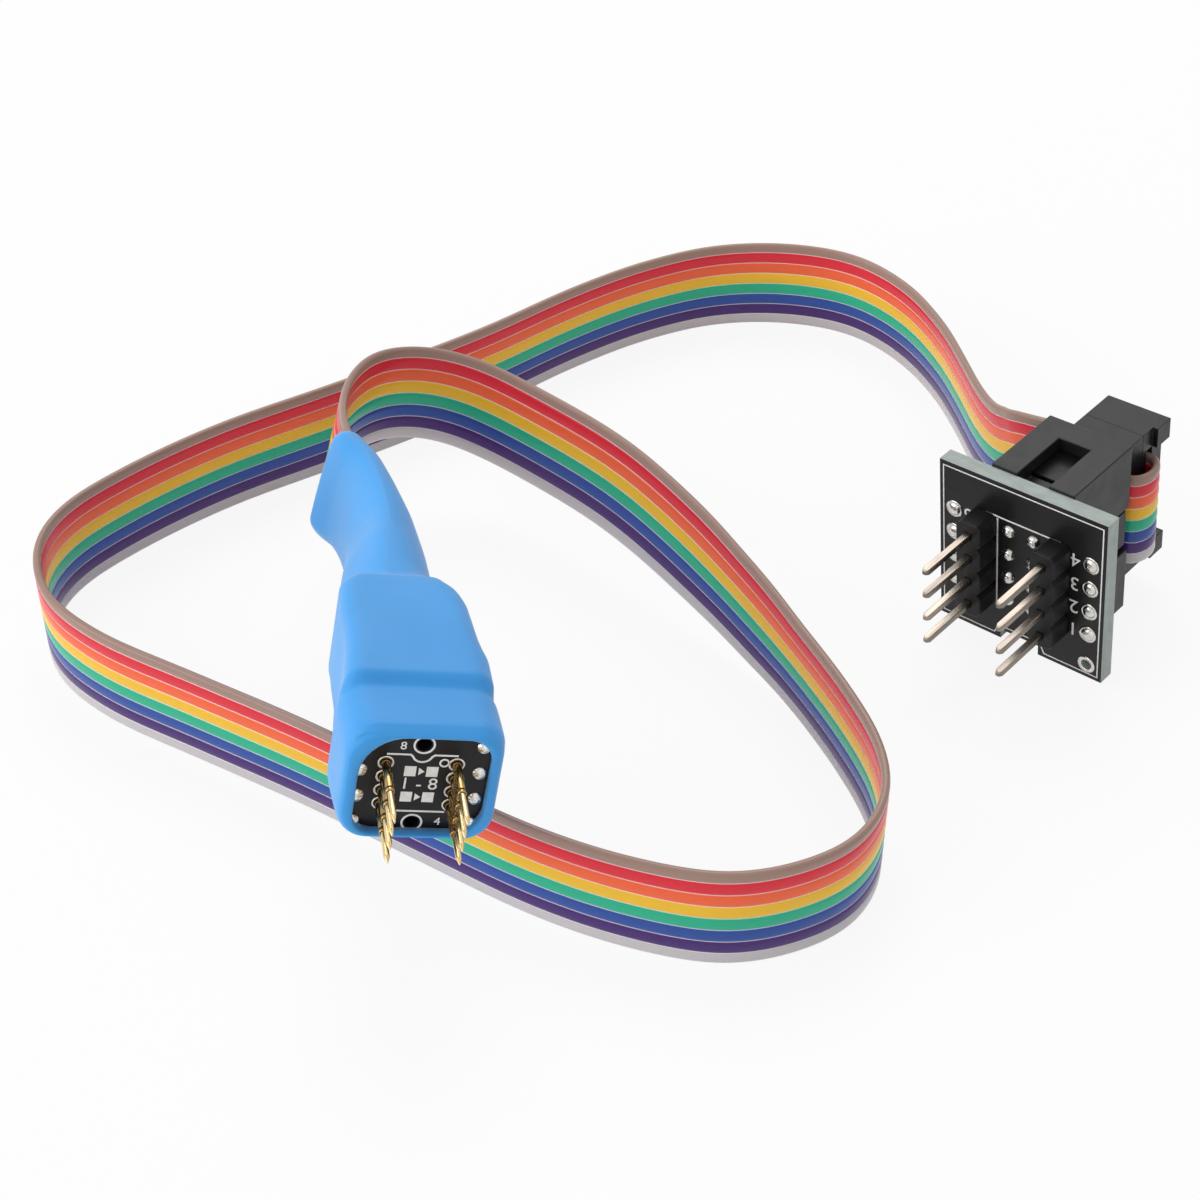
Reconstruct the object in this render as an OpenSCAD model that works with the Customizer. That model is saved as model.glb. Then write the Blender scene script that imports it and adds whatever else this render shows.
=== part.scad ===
// Chip programming probe: eight sprung pins in a soft grip, a flat ribbon and a plug-in adapter.
// Lengths are in millimetres. The desk is z = 0 and the probe points along -Y.

/* [Placement] */
// Height of the tip board's centre above the desk
grip_z = 17.45; // [16.5:0.05:20]
// Roll of the grip where it lies on the ribbon, degrees
grip_roll = 11; // [0:1:16]
// Nose-up tilt of the grip, degrees
grip_tilt = 3; // [0:0.5:5]
// Turn of the adapter about the upright, degrees
adapter_turn = 52.5; // [40:0.5:60]
// Forward lean of the adapter, degrees
adapter_lean = 4.5; // [0:0.5:6]
// Sideways lean of the adapter, degrees
adapter_roll = 4; // [0:0.5:6]
// Height of the adapter board's centre above the desk
adapter_z = 9.25; // [9.25:0.05:12]

/* [Grip sleeve] */
// Width of the sleeve at its mouth
mouth_w = 11.9; // [11.6:0.1:14]
// Sideways shift of the mouth to the right
mouth_shift = 0.15; // [0:0.05:0.25]
// Height of the sleeve at its mouth
mouth_h = 10.4; // [10.2:0.1:12]
// Wall beside the tip board
mouth_wall = 0.6; // [0.5:0.05:1.2]
// Wall above and below the tip board
mouth_roof = 0.55; // [0.4:0.05:1]
// Narrowing of the shoulder from the mouth to its back end
shoulder_taper = 2.2; // [1.6:0.1:3.2]
// Rise of the shoulder above the tail
shoulder_rise = 0.5; // [0.3:0.1:1.4]
// Distance from the tip board to the end of the front block
block_len = 5; // [4:0.1:5.5]
// Distance from the tip board to the end of the shoulder
shoulder_len = 18.8; // [17:0.1:22]
// Distance from the tip board to the end of the tail
tail_len = 42.3; // [40:0.1:48]
// Width of the tail where it leaves the shoulder
neck_w = 6.5; // [5.6:0.1:8]
// Width of the tail at its end
tail_w = 2.6; // [2.4:0.1:3.6]
// Distance of the ribbon's middle below the pin axis
ribbon_drop = 0.3; // [0:0.05:0.4]
// Sideways reach of the tail's bend
tail_bend = 3; // [0:0.1:4]
// Twist of the tail's end, degrees
tail_twist = 4.5; // [0:0.5:12]
// Wall left round the ribbon in the tail
tail_wall = 0.45; // [0.4:0.05:0.7]
// Gap at each edge of the ribbon in the tail
ribbon_gap = 0.07; // [0.05:0.01:0.2]
// Lip that holds the tip board in
lip_t = 0.9; // [0.6:0.1:1.2]
// Reach of the lip in from each side of the mouth
lip_side = 1.15; // [0.95:0.05:1.5]
// Reach of the lip in from the mouth's top and underside
lip_top = 0.85; // [0.8:0.05:1.2]
// Corner radius of the window in the lip
window_r = 1.9; // [1:0.1:2.4]
// Sideways shift of the window to the right
window_shift = 0.25; // [0:0.05:0.3]
// Upward shift of the window
window_rise = 0.2; // [0:0.05:0.3]

/* [Probe boards] */
// Thickness of the tip board
tip_t = 1.2; // [0.8:0.1:1.6]
// Step of the rear board in from each side of the tip board
rear_step = 0.3; // [0.3:0.05:0.5]
// Reach of the rear board past each edge of the ribbon
rear_edge = 0.02; // [0.02:0.01:0.06]
// Thickness of the rear board
rear_t = 1.2; // [0.8:0.1:1.6]
// Corner radius of both boards
board_corner = 1.6; // [1.4:0.1:1.7]
// Gap round the boards in the sleeve
board_gap = 0.05; // [0.02:0.01:0.1]
// Bore of the two locating holes
locate_d = 1.1; // [1:0.1:1.5]
// Distance of a locating hole from the board's edge
locate_edge = 0.95; // [0.9:0.05:1.2]
// Side of the posts that join the two boards
post_side = 0.6; // [0.4:0.05:0.64]
// Distance of the posts from the board's sides
post_edge = 0.9; // [0.8:0.05:1.1]
// Distance of the end posts from the board's top and bottom
post_end = 1; // [0.9:0.05:1.3]
// Diameter of the solder domes on the tip board
dome_d = 1.2; // [1:0.1:1.3]
// Height of the solder domes on the tip board
dome_h = 0.35; // [0.3:0.05:0.45]

/* [Sprung pins] */
// Distance between the two rows of pins
row_gap = 5.2; // [5:0.1:5.6]
// Pitch of the pins in a row
pin_pitch = 1.27; // [1.2:0.01:1.3]
// Outside diameter of a barrel
barrel_d = 0.68; // [0.64:0.02:0.8]
// Length of a barrel
barrel_len = 13; // [12:0.1:14]
// Reach of a barrel in front of the tip board
barrel_out = 3.4; // [2.8:0.1:4]
// Bore of a barrel
barrel_bore = 0.56; // [0.54:0.01:0.58]
// Closed back end of a barrel
barrel_back = 1; // [0.6:0.1:1.4]
// Narrow neck at a barrel's mouth
barrel_neck = 0.6; // [0.4:0.1:1]
// Diameter of a plunger's shaft
plunger_d = 0.46; // [0.42:0.01:0.47]
// Reach of a plunger in front of its barrel
plunger_out = 3.2; // [2.8:0.1:3.6]
// Length of a plunger's pointed end
point_len = 0.7; // [0.4:0.1:1]
// Length of a plunger's head inside the barrel
head_len = 1.6; // [1:0.1:2.4]
// Gap round a plunger in its barrel
plunger_fit = 0.02; // [0.01:0.01:0.03]
// Wire of a pin's spring
spring_wire = 0.08; // [0.06:0.01:0.1]
// Turns of a pin's spring
spring_turns = 8; // [6:1:10]

/* [Ribbon] */
// Pitch of the wires
wire_pitch = 1.27; // [1.27:0.01:1.28]
// Thickness of the ribbon
ribbon_t = 0.9; // [0.8:0.05:1]

/* [Ribbon plug] */
// Width of the plug body
plug_w = 6; // [5.6:0.1:6.2]
// Height of the plug body
plug_h = 14.7; // [14:0.1:15]
// Place of the plug body's front face behind the adapter's front
plug_front = 4.4; // [4.3:0.1:5]
// Place of the plug body's back face behind the adapter's front
plug_back = 11.1; // [11:0.1:12]
// Thickness of the cover
cover_t = 3; // [2.6:0.1:3.4]
// Reach of the strap's feet over the cover's ends
latch_reach = 0.7; // [0.4:0.1:1]
// Reach of the folded ribbon beside the plug
fold_reach = 1.6; // [1.4:0.1:2]
// Thickness of the strain relief strap
strap_t = 1.6; // [1.4:0.1:2]
// Outside of a contact
contact_side = 1; // [0.96:0.02:1.1]
// Gap round a header pin in its contact
contact_fit = 0.04; // [0.02:0.01:0.06]
// Width of the plug's key
key_w = 3.8; // [3.2:0.1:4.2]
// Height of the plug's key
key_h = 1; // [0.7:0.1:1.1]

/* [Box header] */
// Width of the header
header_w = 8.5; // [8.4:0.1:9]
// Height of the header
header_h = 18; // [17.6:0.1:18]
// Depth of the header
header_d = 8.9; // [8.6:0.1:9.2]
// Thickness of the header's floor
header_floor = 2.3; // [2:0.1:2.5]
// Gap at each side of the plug in the header
header_gap = 0.2; // [0.1:0.05:0.25]
// Gap at each end of the plug in the header
header_end_gap = 0.35; // [0.2:0.05:0.4]
// Width of the slots in the end walls
end_slot_w = 3.2; // [2.8:0.1:3.6]
// Depth of the slots in the end walls
end_slot_d = 6.4; // [5.6:0.1:6.8]
// Width of the key slot in the side wall
key_slot_w = 4.8; // [4.4:0.1:5.4]
// Side of a square pin
pin_side = 0.64; // [0.6:0.01:0.66]
// Reach of a header pin behind the board's front
pin_reach = 9.4; // [8.6:0.1:9.8]

/* [Adapter board] */
// Width of the adapter board
board_w = 17.2; // [16.4:0.1:18]
// Height of the adapter board
board_h = 17.4; // [17:0.1:18]
// Thickness of the adapter board
board_t = 1.6; // [1.4:0.1:1.8]
// Pitch of the adapter's pins
grid = 2.54; // [2.54:0.01:2.55]
// Distance between the two pin strips
strip_gap = 7.62; // [7.62:0.01:7.64]
// Thickness of a pin strip's base
strip_t = 2.54; // [2.4:0.02:2.6]
// Reach of the pins in front of the strips
strip_pin = 6.4; // [5.8:0.1:7]
// Bore of the plated pads
pad_bore = 0.9; // [0.8:0.05:1]
// Distance between the two columns of plated pads
pad_gap = 14.1; // [13.6:0.1:14.2]
// Width of the notch in the board's lower edge
notch_w = 4; // [3:0.1:4.4]
// Depth of the notch in the board's lower edge
notch_d = 1; // [0.6:0.1:1.3]

/* [Output] */
// Which piece to draw

/* [Hidden] */
eps = 0.01;
origin_shift = [-1.36, -0.4];
grip_place = [-31.9 + origin_shift[0], -17.5 + origin_shift[1], grip_z];
adapter_place = [23.7 + origin_shift[0], 9.4 + origin_shift[1], adapter_z];
wires = 8;
ribbon_w = wires * wire_pitch;
tail_half = ribbon_w / 2 + ribbon_gap + tail_wall;
tail_top = tail_half - ribbon_drop;
belly_depth = tail_half + ribbon_drop;
shoulder_top = tail_top + shoulder_rise;
shoulder_w = mouth_w - shoulder_taper;
window_w = mouth_w - 2 * lip_side;
window_h = mouth_h - 2 * lip_top;
tip_w = mouth_w - 2 * (mouth_wall + board_gap);
tip_h = mouth_h - 2 * (mouth_roof + board_gap);
rear_w = tip_w - 2 * rear_step;
rear_h = ribbon_w + 2 * rear_edge;
locate_gap = tip_h - 2 * locate_edge;
post_rows = tip_w - 2 * post_edge;
post_pitch = (tip_h - 2 * post_end) / 3;
desk_z = ribbon_w / 2 + 0.02;
rear_front = barrel_len - barrel_out - rear_t;
rear_back = barrel_len - barrel_out;
pocket_end = block_len + 1.6;
well_end = rear_back + 1;
neck_bore = plunger_d + 2 * plunger_fit;
head_d = barrel_bore - 2 * plunger_fit;
head_front = barrel_neck - barrel_out + eps;
spring_front = head_front + head_len;
spring_back = barrel_len - barrel_out - barrel_back;
spring_r = (head_d - spring_wire) / 2;
layer_1 = plug_back + ribbon_t / 2;
cover_front = plug_back + ribbon_t;
layer_2 = cover_front + cover_t + ribbon_t / 2;
strap_front = cover_front + cover_t + ribbon_t;
fold_half = (layer_2 - layer_1) / 2;
plug_end = (plug_h - ribbon_w) / 2 - 0.2;
well_u = plug_w + 2 * header_gap;
well_v = plug_h + 2 * header_end_gap;
header_back = board_t + header_d;
$fn = 32;

// Moves a piece from the grip's own frame, with the tip board's front at y = 0, to its place.
module place_grip()
    translate(grip_place)
        rotate([-grip_tilt, 0, 0])
            rotate([0, grip_roll, 0])
                children();

// Moves a piece from the adapter's own frame, with the board's front at y = 0, to its place.
module place_adapter()
    translate(adapter_place)
        rotate([0, 0, -adapter_turn])
            rotate([adapter_lean, 0, 0])
                rotate([0, -adapter_roll, 0])
                    children();

// The same two moves for a point or, with weight 0, for a direction.
function roll_point(p, a) = [p[0] * cos(a) + p[2] * sin(a), p[1], p[2] * cos(a) - p[0] * sin(a)];
function tilt_point(p, a) = [p[0], p[1] * cos(a) - p[2] * sin(a), p[1] * sin(a) + p[2] * cos(a)];
function turn_point(p, a) = [p[0] * cos(a) - p[1] * sin(a), p[0] * sin(a) + p[1] * cos(a), p[2]];
function in_grip(p, weight = 1) =
    grip_place * weight + tilt_point(roll_point(p, grip_roll), -grip_tilt);
function in_adapter(p, weight = 1) =
    adapter_place * weight
    + turn_point(tilt_point(roll_point(p, -adapter_roll), adapter_lean), -adapter_turn);

// Triangles of a closed tube through a number of rings of n points each.
function tube_faces(rings, n) = concat(
    [for (i = [0:rings - 2], j = [0:n - 1]) [i * n + j, i * n + (j + 1) % n, (i + 1) * n + (j + 1) % n]],
    [for (i = [0:rings - 2], j = [0:n - 1]) [i * n + j, (i + 1) * n + (j + 1) % n, (i + 1) * n + j]],
    [[for (j = [n - 1:-1:0]) j]],
    [[for (j = [0:n - 1]) (rings - 1) * n + j]]);

// A box between two opposite corners.
module block(low, high)
    translate(low)
        cube(high - low);

// A round bar along +Y from one place to another.
module bar_y(d, from, to)
    translate([0, from, 0])
        rotate([-90, 0, 0])
            cylinder(d = d, h = to - from);

// A round-cornered plate along +Y.
module plate_y(w, h, r, from, to) {
    block([-w / 2 + r, from, -h / 2], [w / 2 - r, to, h / 2]);
    block([-w / 2, from, -h / 2 + r], [w / 2, to, h / 2 - r]);
    for (x = [-1, 1], z = [-1, 1])
        translate([x * (w / 2 - r), 0, z * (h / 2 - r)])
            bar_y(2 * r, from, to);
}

// Sections of the sleeve: place, half width, top, underside, corner, sideways shift, twist.
half_m = mouth_w / 2;
half_h = mouth_h / 2;
half_s = shoulder_w / 2;
half_n = neck_w / 2;
half_t = tail_w / 2;
span = tail_len - shoulder_len;
grip_sections = [
    [-lip_t, half_m - 0.65, half_h - 0.55, half_h - 0.65, 2.0, mouth_shift, 0],
    [-lip_t + 0.4, half_m - 0.25, half_h - 0.3, half_h - 0.25, 2.1, mouth_shift, 0],
    [0.5, half_m - 0.05, half_h - 0.08, half_h - 0.05, 2.2, mouth_shift, 0],
    [1.2, half_m, half_h, half_h, 2.2, mouth_shift, 0],
    [block_len, half_m - 0.02, half_h, half_h + 0.2, 2.1, mouth_shift, 0],
    [block_len + 0.4, half_m - 0.08, half_h + 0.02, belly_depth - 0.1, 2.0, mouth_shift, 0],
    [block_len + 0.8, half_m - 0.2, (half_h + shoulder_top) / 2 - 0.05, belly_depth, 2.0, mouth_shift, 0],
    [block_len + 1.3, half_m - 0.33, shoulder_top - 0.04, belly_depth, 2.0, mouth_shift, 0],
    [block_len + 1.8, half_m - 0.35, shoulder_top, belly_depth, 2.0, mouth_shift, 0],
    [shoulder_len * 0.48, (half_m + half_s) / 2 + 0.15, shoulder_top, belly_depth, 2.0, mouth_shift, 0],
    [shoulder_len * 0.82, half_s + 0.4, shoulder_top, belly_depth, 2.0, 0, 0],
    [shoulder_len - 1.4, half_s + 0.15, shoulder_top - 0.08, belly_depth, 1.9, 0, 0],
    [shoulder_len - 0.3, half_s - 0.5, shoulder_top - 0.22, belly_depth, 1.8, 0, 0],
    [shoulder_len + 0.4, (half_s + half_n) / 2 - 0.2, tail_top + 0.1, belly_depth, 1.6, 0, 0],
    [shoulder_len + 1, half_n, tail_top + 0.02, belly_depth, 1.5, -tail_bend * 0.03, 0],
    [shoulder_len + span * 0.12, half_n - 0.25, tail_top, belly_depth, 1.5, -tail_bend * 0.06, 0],
    [shoulder_len + span * 0.28, half_n - 0.5, tail_top, belly_depth, 1.5, -tail_bend * 0.09,
        tail_twist * 0.1],
    [shoulder_len + span * 0.48, half_t + (half_n - half_t) * 0.52, tail_top, belly_depth, 1.4,
        -tail_bend * 0.14, tail_twist * 0.28],
    [shoulder_len + span * 0.66, half_t + (half_n - half_t) * 0.30, tail_top, belly_depth, 1.3,
        -tail_bend * 0.29, tail_twist * 0.54],
    [shoulder_len + span * 0.82, half_t + (half_n - half_t) * 0.13, tail_top, belly_depth, 1.2,
        -tail_bend * 0.52, tail_twist * 0.8],
    [tail_len - 0.9, half_t, tail_top, belly_depth, 1.1, -tail_bend * 0.93, tail_twist],
    [tail_len, half_t - 0.2, tail_top - 0.2, belly_depth - 0.2, 0.9, -tail_bend, tail_twist]];

// One ring of points of a section, drawn in by an inset.
corner_steps = 5;
function corner(cx, cz, r, from) =
    [for (k = [0:corner_steps]) let (a = from + 90 * k / corner_steps) [cx + r * cos(a), cz + r * sin(a)]];
function section_flat(w, top, low, r) = concat(
    corner(w - r, top - r, r, 0),
    corner(-w + r, top - r, r, 90),
    corner(-w + r, -low + r, r, 180),
    corner(w - r, -low + r, r, 270));
function section_ring(s, inset) =
    let (
        w = s[1] - inset,
        r = min(s[4], w - 0.1),
        mid = (s[2] - s[3]) / 2,
        half = (s[2] + s[3]) / 2 - inset,
        flat = section_flat(w, half, half, min(r, half - 0.1)))
    [for (p = flat) [
        p[0] * cos(s[6]) + p[1] * sin(s[6]) + s[5],
        s[0],
        p[1] * cos(s[6]) - p[0] * sin(s[6]) + mid]];
ring_n = 4 * (corner_steps + 1);

// A smooth skin through a run of sleeve sections.
module skin(sections, inset) {
    points = [for (s = sections, p = section_ring(s, inset)) p];
    polyhedron(points, tube_faces(len(sections), ring_n), convexity = 8);
}

inner_first = 9;
inner_last = len(grip_sections) - 1;
inner_sections = concat(
    [for (i = [inner_first:inner_last]) grip_sections[i]],
    [[tail_len + 0.5, half_t - 0.2, tail_top - 0.2, belly_depth - 0.2, 0.9, -tail_bend, tail_twist]]);

// Soft cover over both boards, with a lipped window in front and a flat passage for the ribbon.
module grip_sleeve()
    color([0.30, 0.58, 0.86])
        place_grip()
            difference() {
                skin(grip_sections, 0);
                translate([window_shift, 0, window_rise])
                    plate_y(window_w, window_h, window_r, -lip_t - 1, 0.2);
                dome_places()
                    bar_y(dome_d + 2 * board_gap, -dome_h - board_gap, 0.2);
                plate_y(tip_w + 2 * board_gap, tip_h + 2 * board_gap, board_corner + board_gap,
                    0, tip_t + board_gap);
                plate_y(rear_w + 2 * board_gap, tip_h + 2 * board_gap, board_corner + board_gap,
                    tip_t, pocket_end);
                translate([0, 0, -ribbon_drop])
                    plate_y(rear_w + 2 * board_gap, rear_h + 2 * board_gap, board_corner + board_gap,
                        pocket_end - 0.1, well_end);
                skin(inner_sections, tail_wall);
            }

// Places of the eight sprung pins: 1 to 4 down the right row, 5 to 8 up the left row.
function pin_x(i) = (i <= 4 ? 1 : -1) * row_gap / 2;
function pin_z(i) = (i <= 4 ? 2.5 - i : i - 6.5) * pin_pitch;

// Square holes or posts in a row of four.
module post_row(x, side, from, to)
    for (k = [-1.5:1:1.5])
        block([x - side / 2, from, k * post_pitch - side / 2],
            [x + side / 2, to, k * post_pitch + side / 2]);

// Front board that carries the sprung pins.
module tip_board()
    color([0.05, 0.06, 0.06])
        place_grip()
            difference() {
                plate_y(tip_w, tip_h, board_corner, 0, tip_t);
                for (i = [1:8])
                    translate([pin_x(i), 0, pin_z(i)])
                        bar_y(barrel_d, -1, tip_t + 1);
                for (z = [-1, 1])
                    translate([0, 0, z * locate_gap / 2])
                        bar_y(locate_d, -1, tip_t + 1);
                post_row(-post_rows / 2, post_side, -1, tip_t + 1);
                post_row(post_rows / 2, post_side, -1, tip_t + 1);
            }

// Back board that steadies the barrels and takes the ribbon's wires.
module rear_board()
    color([0.05, 0.06, 0.06])
        place_grip()
            difference() {
                translate([0, 0, -ribbon_drop])
                    plate_y(rear_w, rear_h, board_corner, rear_front, rear_back);
                for (i = [1:8])
                    translate([pin_x(i), 0, pin_z(i)])
                        bar_y(barrel_d, rear_front - 1, rear_back + 1);
                post_row(-post_rows / 2, post_side, rear_front - 1, rear_back + 1);
                post_row(post_rows / 2, post_side, rear_front - 1, rear_back + 1);
            }

// Posts that join the boards on the left.
module link_posts_left()
    color([0.80, 0.78, 0.70])
        place_grip()
            post_row(-post_rows / 2, post_side, 0, rear_back + 0.4);

// Posts that join the boards on the right.
module link_posts_right()
    color([0.80, 0.78, 0.70])
        place_grip()
            post_row(post_rows / 2, post_side, 0, rear_back + 0.4);

// Solder dome on a board's front face.
module solder_dome(d, h)
    rotate([90, 0, 0])
        rotate_extrude()
            intersection() {
                translate([0, (h * h - d * d / 4) / (2 * h)])
                    circle(r = (h * h + d * d / 4) / (2 * h), $fn = 48);
                square([d, h]);
            }

// Repeats a piece at the end of each post.
module dome_places()
    for (x = [-1, 1], k = [-1.5:1:1.5])
        translate([x * post_rows / 2, 0, k * post_pitch])
            children();

// Domes over the ends of the posts.
module tip_solder()
    color([0.78, 0.78, 0.76])
        place_grip()
            dome_places()
                solder_dome(dome_d, dome_h);

// Barrel of a sprung pin: narrow neck in front, closed at the back.
module barrel(i)
    color([0.86, 0.68, 0.32])
        place_grip()
            translate([pin_x(i), 0, pin_z(i)])
                difference() {
                    bar_y(barrel_d, -barrel_out, barrel_len - barrel_out);
                    bar_y(neck_bore, -barrel_out - 1, barrel_neck - barrel_out + eps);
                    bar_y(barrel_bore, barrel_neck - barrel_out, spring_back);
                }

// Plunger of a sprung pin: pointed shaft with a head held behind the neck.
module plunger(i)
    color([0.90, 0.74, 0.38])
        place_grip()
            translate([pin_x(i), 0, pin_z(i)]) {
                bar_y(plunger_d, point_len - plunger_out - barrel_out, head_front);
                bar_y(head_d, head_front, head_front + head_len);
                translate([0, -plunger_out - barrel_out, 0])
                    rotate([-90, 0, 0])
                        cylinder(d1 = 0.08, d2 = plunger_d, h = point_len);
            }

// Coil between a plunger's head and the barrel's closed end.
coil_steps = 6;
module spring(i)
    color([0.75, 0.75, 0.78])
        place_grip()
            translate([pin_x(i), 0, pin_z(i)]) {
                rings = spring_turns * coil_steps + 1;
                low = spring_front + spring_wire / 2;
                high = spring_back - spring_wire / 2;
                points = [for (k = [0:rings - 1], c = [0:2])
                    let (
                        a = 360 * k / coil_steps,
                        r = spring_r + spring_wire / 2 * cos(120 * c),
                        y = low + (high - low) * k / (rings - 1) + spring_wire / 2 * sin(-120 * c))
                    [r * cos(a), y, r * sin(a)]];
                polyhedron(points, tube_faces(rings, 3), convexity = 10);
            }

module barrel_1() barrel(1);
module barrel_2() barrel(2);
module barrel_3() barrel(3);
module barrel_4() barrel(4);
module barrel_5() barrel(5);
module barrel_6() barrel(6);
module barrel_7() barrel(7);
module barrel_8() barrel(8);
module plunger_1() plunger(1);
module plunger_2() plunger(2);
module plunger_3() plunger(3);
module plunger_4() plunger(4);
module plunger_5() plunger(5);
module plunger_6() plunger(6);
module plunger_7() plunger(7);
module plunger_8() plunger(8);
module spring_1() spring(1);
module spring_2() spring(2);
module spring_3() spring(3);
module spring_4() spring(4);
module spring_5() spring(5);
module spring_6() spring(6);
module spring_7() spring(7);
module spring_8() spring(8);

// Ribbon route over the desk: x, y, lift of the lower edge, lean of the upper edge to the right.
desk_route = [
    [-34.7, 31.0, 9.8, 19], [-34.0, 34.0, 9.5, 16], [-32.8, 36.6, 9.2, 13], [-31.2, 39.0, 8.9, 8],
    [-29.4, 40.7, 8.4, 4], [-27.4, 41.7, 7.9, 1], [-25.4, 42.1, 7.3, -2], [-23.5, 42.0, 6.8, -5],
    [-21.6, 41.5, 6.2, -7], [-19.4, 40.4, 5.5, -10], [-16.8, 38.4, 4.8, -12], [-9.4, 28.8, 4.2, -12],
    [-4.6, 20.8, 2.9, -10],
    [-0.4, 12.2, 1.3, -5], [2.6, 4.4, 0.2, 0], [4.6, -3.8, 0, 0], [5.4, -11.0, 0, 0],
    [4.4, -16.4, 0, 0], [1.0, -20.8, 0, 0], [-4.2, -22.8, 0, 0], [-9.6, -23.0, 0, 0],
    [-16.4, -20.2, 0, 0], [-23.0, -15.8, 0, 0], [-31.6, -8.0, 0, 0], [-40.4, 0.2, 0, 0],
    [-48.6, 7.2, 0, 0], [-56.6, 14.2, 0, 0], [-60.8, 20.4, 0, 0], [-61.6, 27.6, 0, 0],
    [-59.4, 32.8, 0, 0], [-54.2, 37.6, 0, 0], [-45.0, 43.6, 0, 0], [-33.6, 48.8, 0, 0],
    [-18.2, 56.4, 0, 0], [-7.4, 63.0, 0, 0], [1.0, 67.0, 0, 0], [9.2, 69.0, 0, 0],
    [17.0, 68.0, 0, 0], [23.2, 64.6, 0, 0], [27.0, 58.4, 0, 1], [28.6, 50.0, 0.3, 3],
    [28.6, 41.8, 0.8, 4], [28.2, 35.2, 1.5, 4], [28.4, 29.6, 2.6, 4]];

// Each route point is a place and the direction of the ribbon's upper edge.
function cross_up(p, q, lean) =
    let (t = (q - p) / norm(q - p), s = cross(t, [0, 0, 1]))
    s / norm(s) * sin(lean) + [0, 0, cos(lean)];
desk_places = [for (p = desk_route) [p[0] + origin_shift[0], p[1] + origin_shift[1], desk_z + p[2]]];
desk_last = len(desk_route) - 1;
desk_points = [for (i = [0:desk_last])
    [desk_places[i],
        cross_up(desk_places[max(i - 1, 0)], desk_places[min(i + 1, desk_last)], desk_route[i][3])]];
function grip_point(s) = [
    in_grip([s[5], s[0], -ribbon_drop]),
    in_grip([sin(s[6]), 0, cos(s[6])], 0)];
grip_points = concat(
    [grip_point([rear_back, 0, 0, 0, 0, 0, 0])],
    [for (i = [inner_first + 1, inner_first + 5, inner_first + 7, inner_first + 8, inner_first + 9,
        inner_first + 10, inner_first + 12]) grip_point(grip_sections[i])]);
plug_up = in_adapter([0, 0, 1], 0);
loop_u = plug_w / 2;
plug_route = concat(
    [[-8.6, layer_2 - 0.9], [-5.2, layer_2 - 0.2], [-2.4, layer_2], [loop_u, layer_2]],
    [for (a = [60:-30:-60]) [loop_u + fold_reach * cos(a), layer_1 + fold_half * (1 + sin(a))]],
    [[loop_u, layer_1], [-plug_w / 2 + 0.3, layer_1]]);
plug_points = [for (p = plug_route) [in_adapter([p[0], p[1], 0]), plug_up]];
route = concat(grip_points, desk_points, plug_points);

// Smooth curve through the route, with more rings on longer spans.
route_n = len(route);
function place_at(i) =
    i < 0 ? 2 * route[0][0] - route[1][0]
    : i >= route_n ? 2 * route[route_n - 1][0] - route[route_n - 2][0]
    : route[i][0];
function slope(i) =
    let (
        a = place_at(i - 1),
        b = place_at(i),
        c = place_at(i + 1),
        d = sqrt(norm(b - a)),
        e = sqrt(norm(c - b)))
    (b - a) / d - (c - a) / (d + e) + (c - b) / e;
function curve(i, t) =
    let (h = sqrt(norm(place_at(i + 1) - place_at(i))))
    (2 * pow(t, 3) - 3 * pow(t, 2) + 1) * place_at(i)
    + (pow(t, 3) - 2 * pow(t, 2) + t) * h * slope(i)
    + (-2 * pow(t, 3) + 3 * pow(t, 2)) * place_at(i + 1)
    + (pow(t, 3) - pow(t, 2)) * h * slope(i + 1);
ring_gap = 6.2;
samples = concat(
    [for (i = [0:route_n - 2])
        let (n = max(1, ceil(norm(place_at(i + 1) - place_at(i)) / ring_gap)))
        for (k = [0:n - 1])
            [curve(i, k / n), route[i][1] * (1 - k / n) + route[i + 1][1] * k / n]],
    [[route[route_n - 1][0], route[route_n - 1][1]]]);
sample_n = len(samples);
function unit(v) = v / norm(v);
frames = [for (i = [0:sample_n - 1])
    let (
        t = unit(samples[min(i + 1, sample_n - 1)][0] - samples[max(i - 1, 0)][0]),
        side = unit(cross(t, samples[i][1])),
        up = cross(side, t))
    [samples[i][0], side, up]];

// Section of one wire: flat above and below, where it joins its neighbours.
wire_section = [
    [0.5 * ribbon_t, 0], [0.28 * ribbon_t, 0.5 * wire_pitch], [-0.28 * ribbon_t, 0.5 * wire_pitch],
    [-0.5 * ribbon_t, 0], [-0.28 * ribbon_t, -0.5 * wire_pitch], [0.28 * ribbon_t, -0.5 * wire_pitch]];

// One insulated wire of the ribbon, counted from the upper edge.
module wire(k) {
    rise = ((wires - 1) / 2 - k) * wire_pitch;
    points = [for (f = frames, q = wire_section) f[0] + f[1] * q[0] + f[2] * (rise + q[1])];
    polyhedron(points, tube_faces(sample_n, 6), convexity = 12);
}

module wire_brown() color([0.45, 0.28, 0.22]) wire(0);
module wire_red() color([0.80, 0.10, 0.14]) wire(1);
module wire_orange() color([0.92, 0.36, 0.16]) wire(2);
module wire_yellow() color([0.95, 0.68, 0.12]) wire(3);
module wire_green() color([0.12, 0.55, 0.36]) wire(4);
module wire_blue() color([0.13, 0.22, 0.52]) wire(5);
module wire_purple() color([0.25, 0.14, 0.42]) wire(6);
module wire_grey() color([0.66, 0.64, 0.67]) wire(7);

// Places of the eight header pins: two rows on the adapter's pitch.
header_places = [for (x = [-0.5, 0.5], k = [-1.5:1:1.5]) [x * grid, k * grid]];

// A square bar along +Y at each header pin.
module header_grid(side, from, to)
    for (p = header_places)
        block([p[0] - side / 2, from, p[1] - side / 2], [p[0] + side / 2, to, p[1] + side / 2]);

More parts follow.
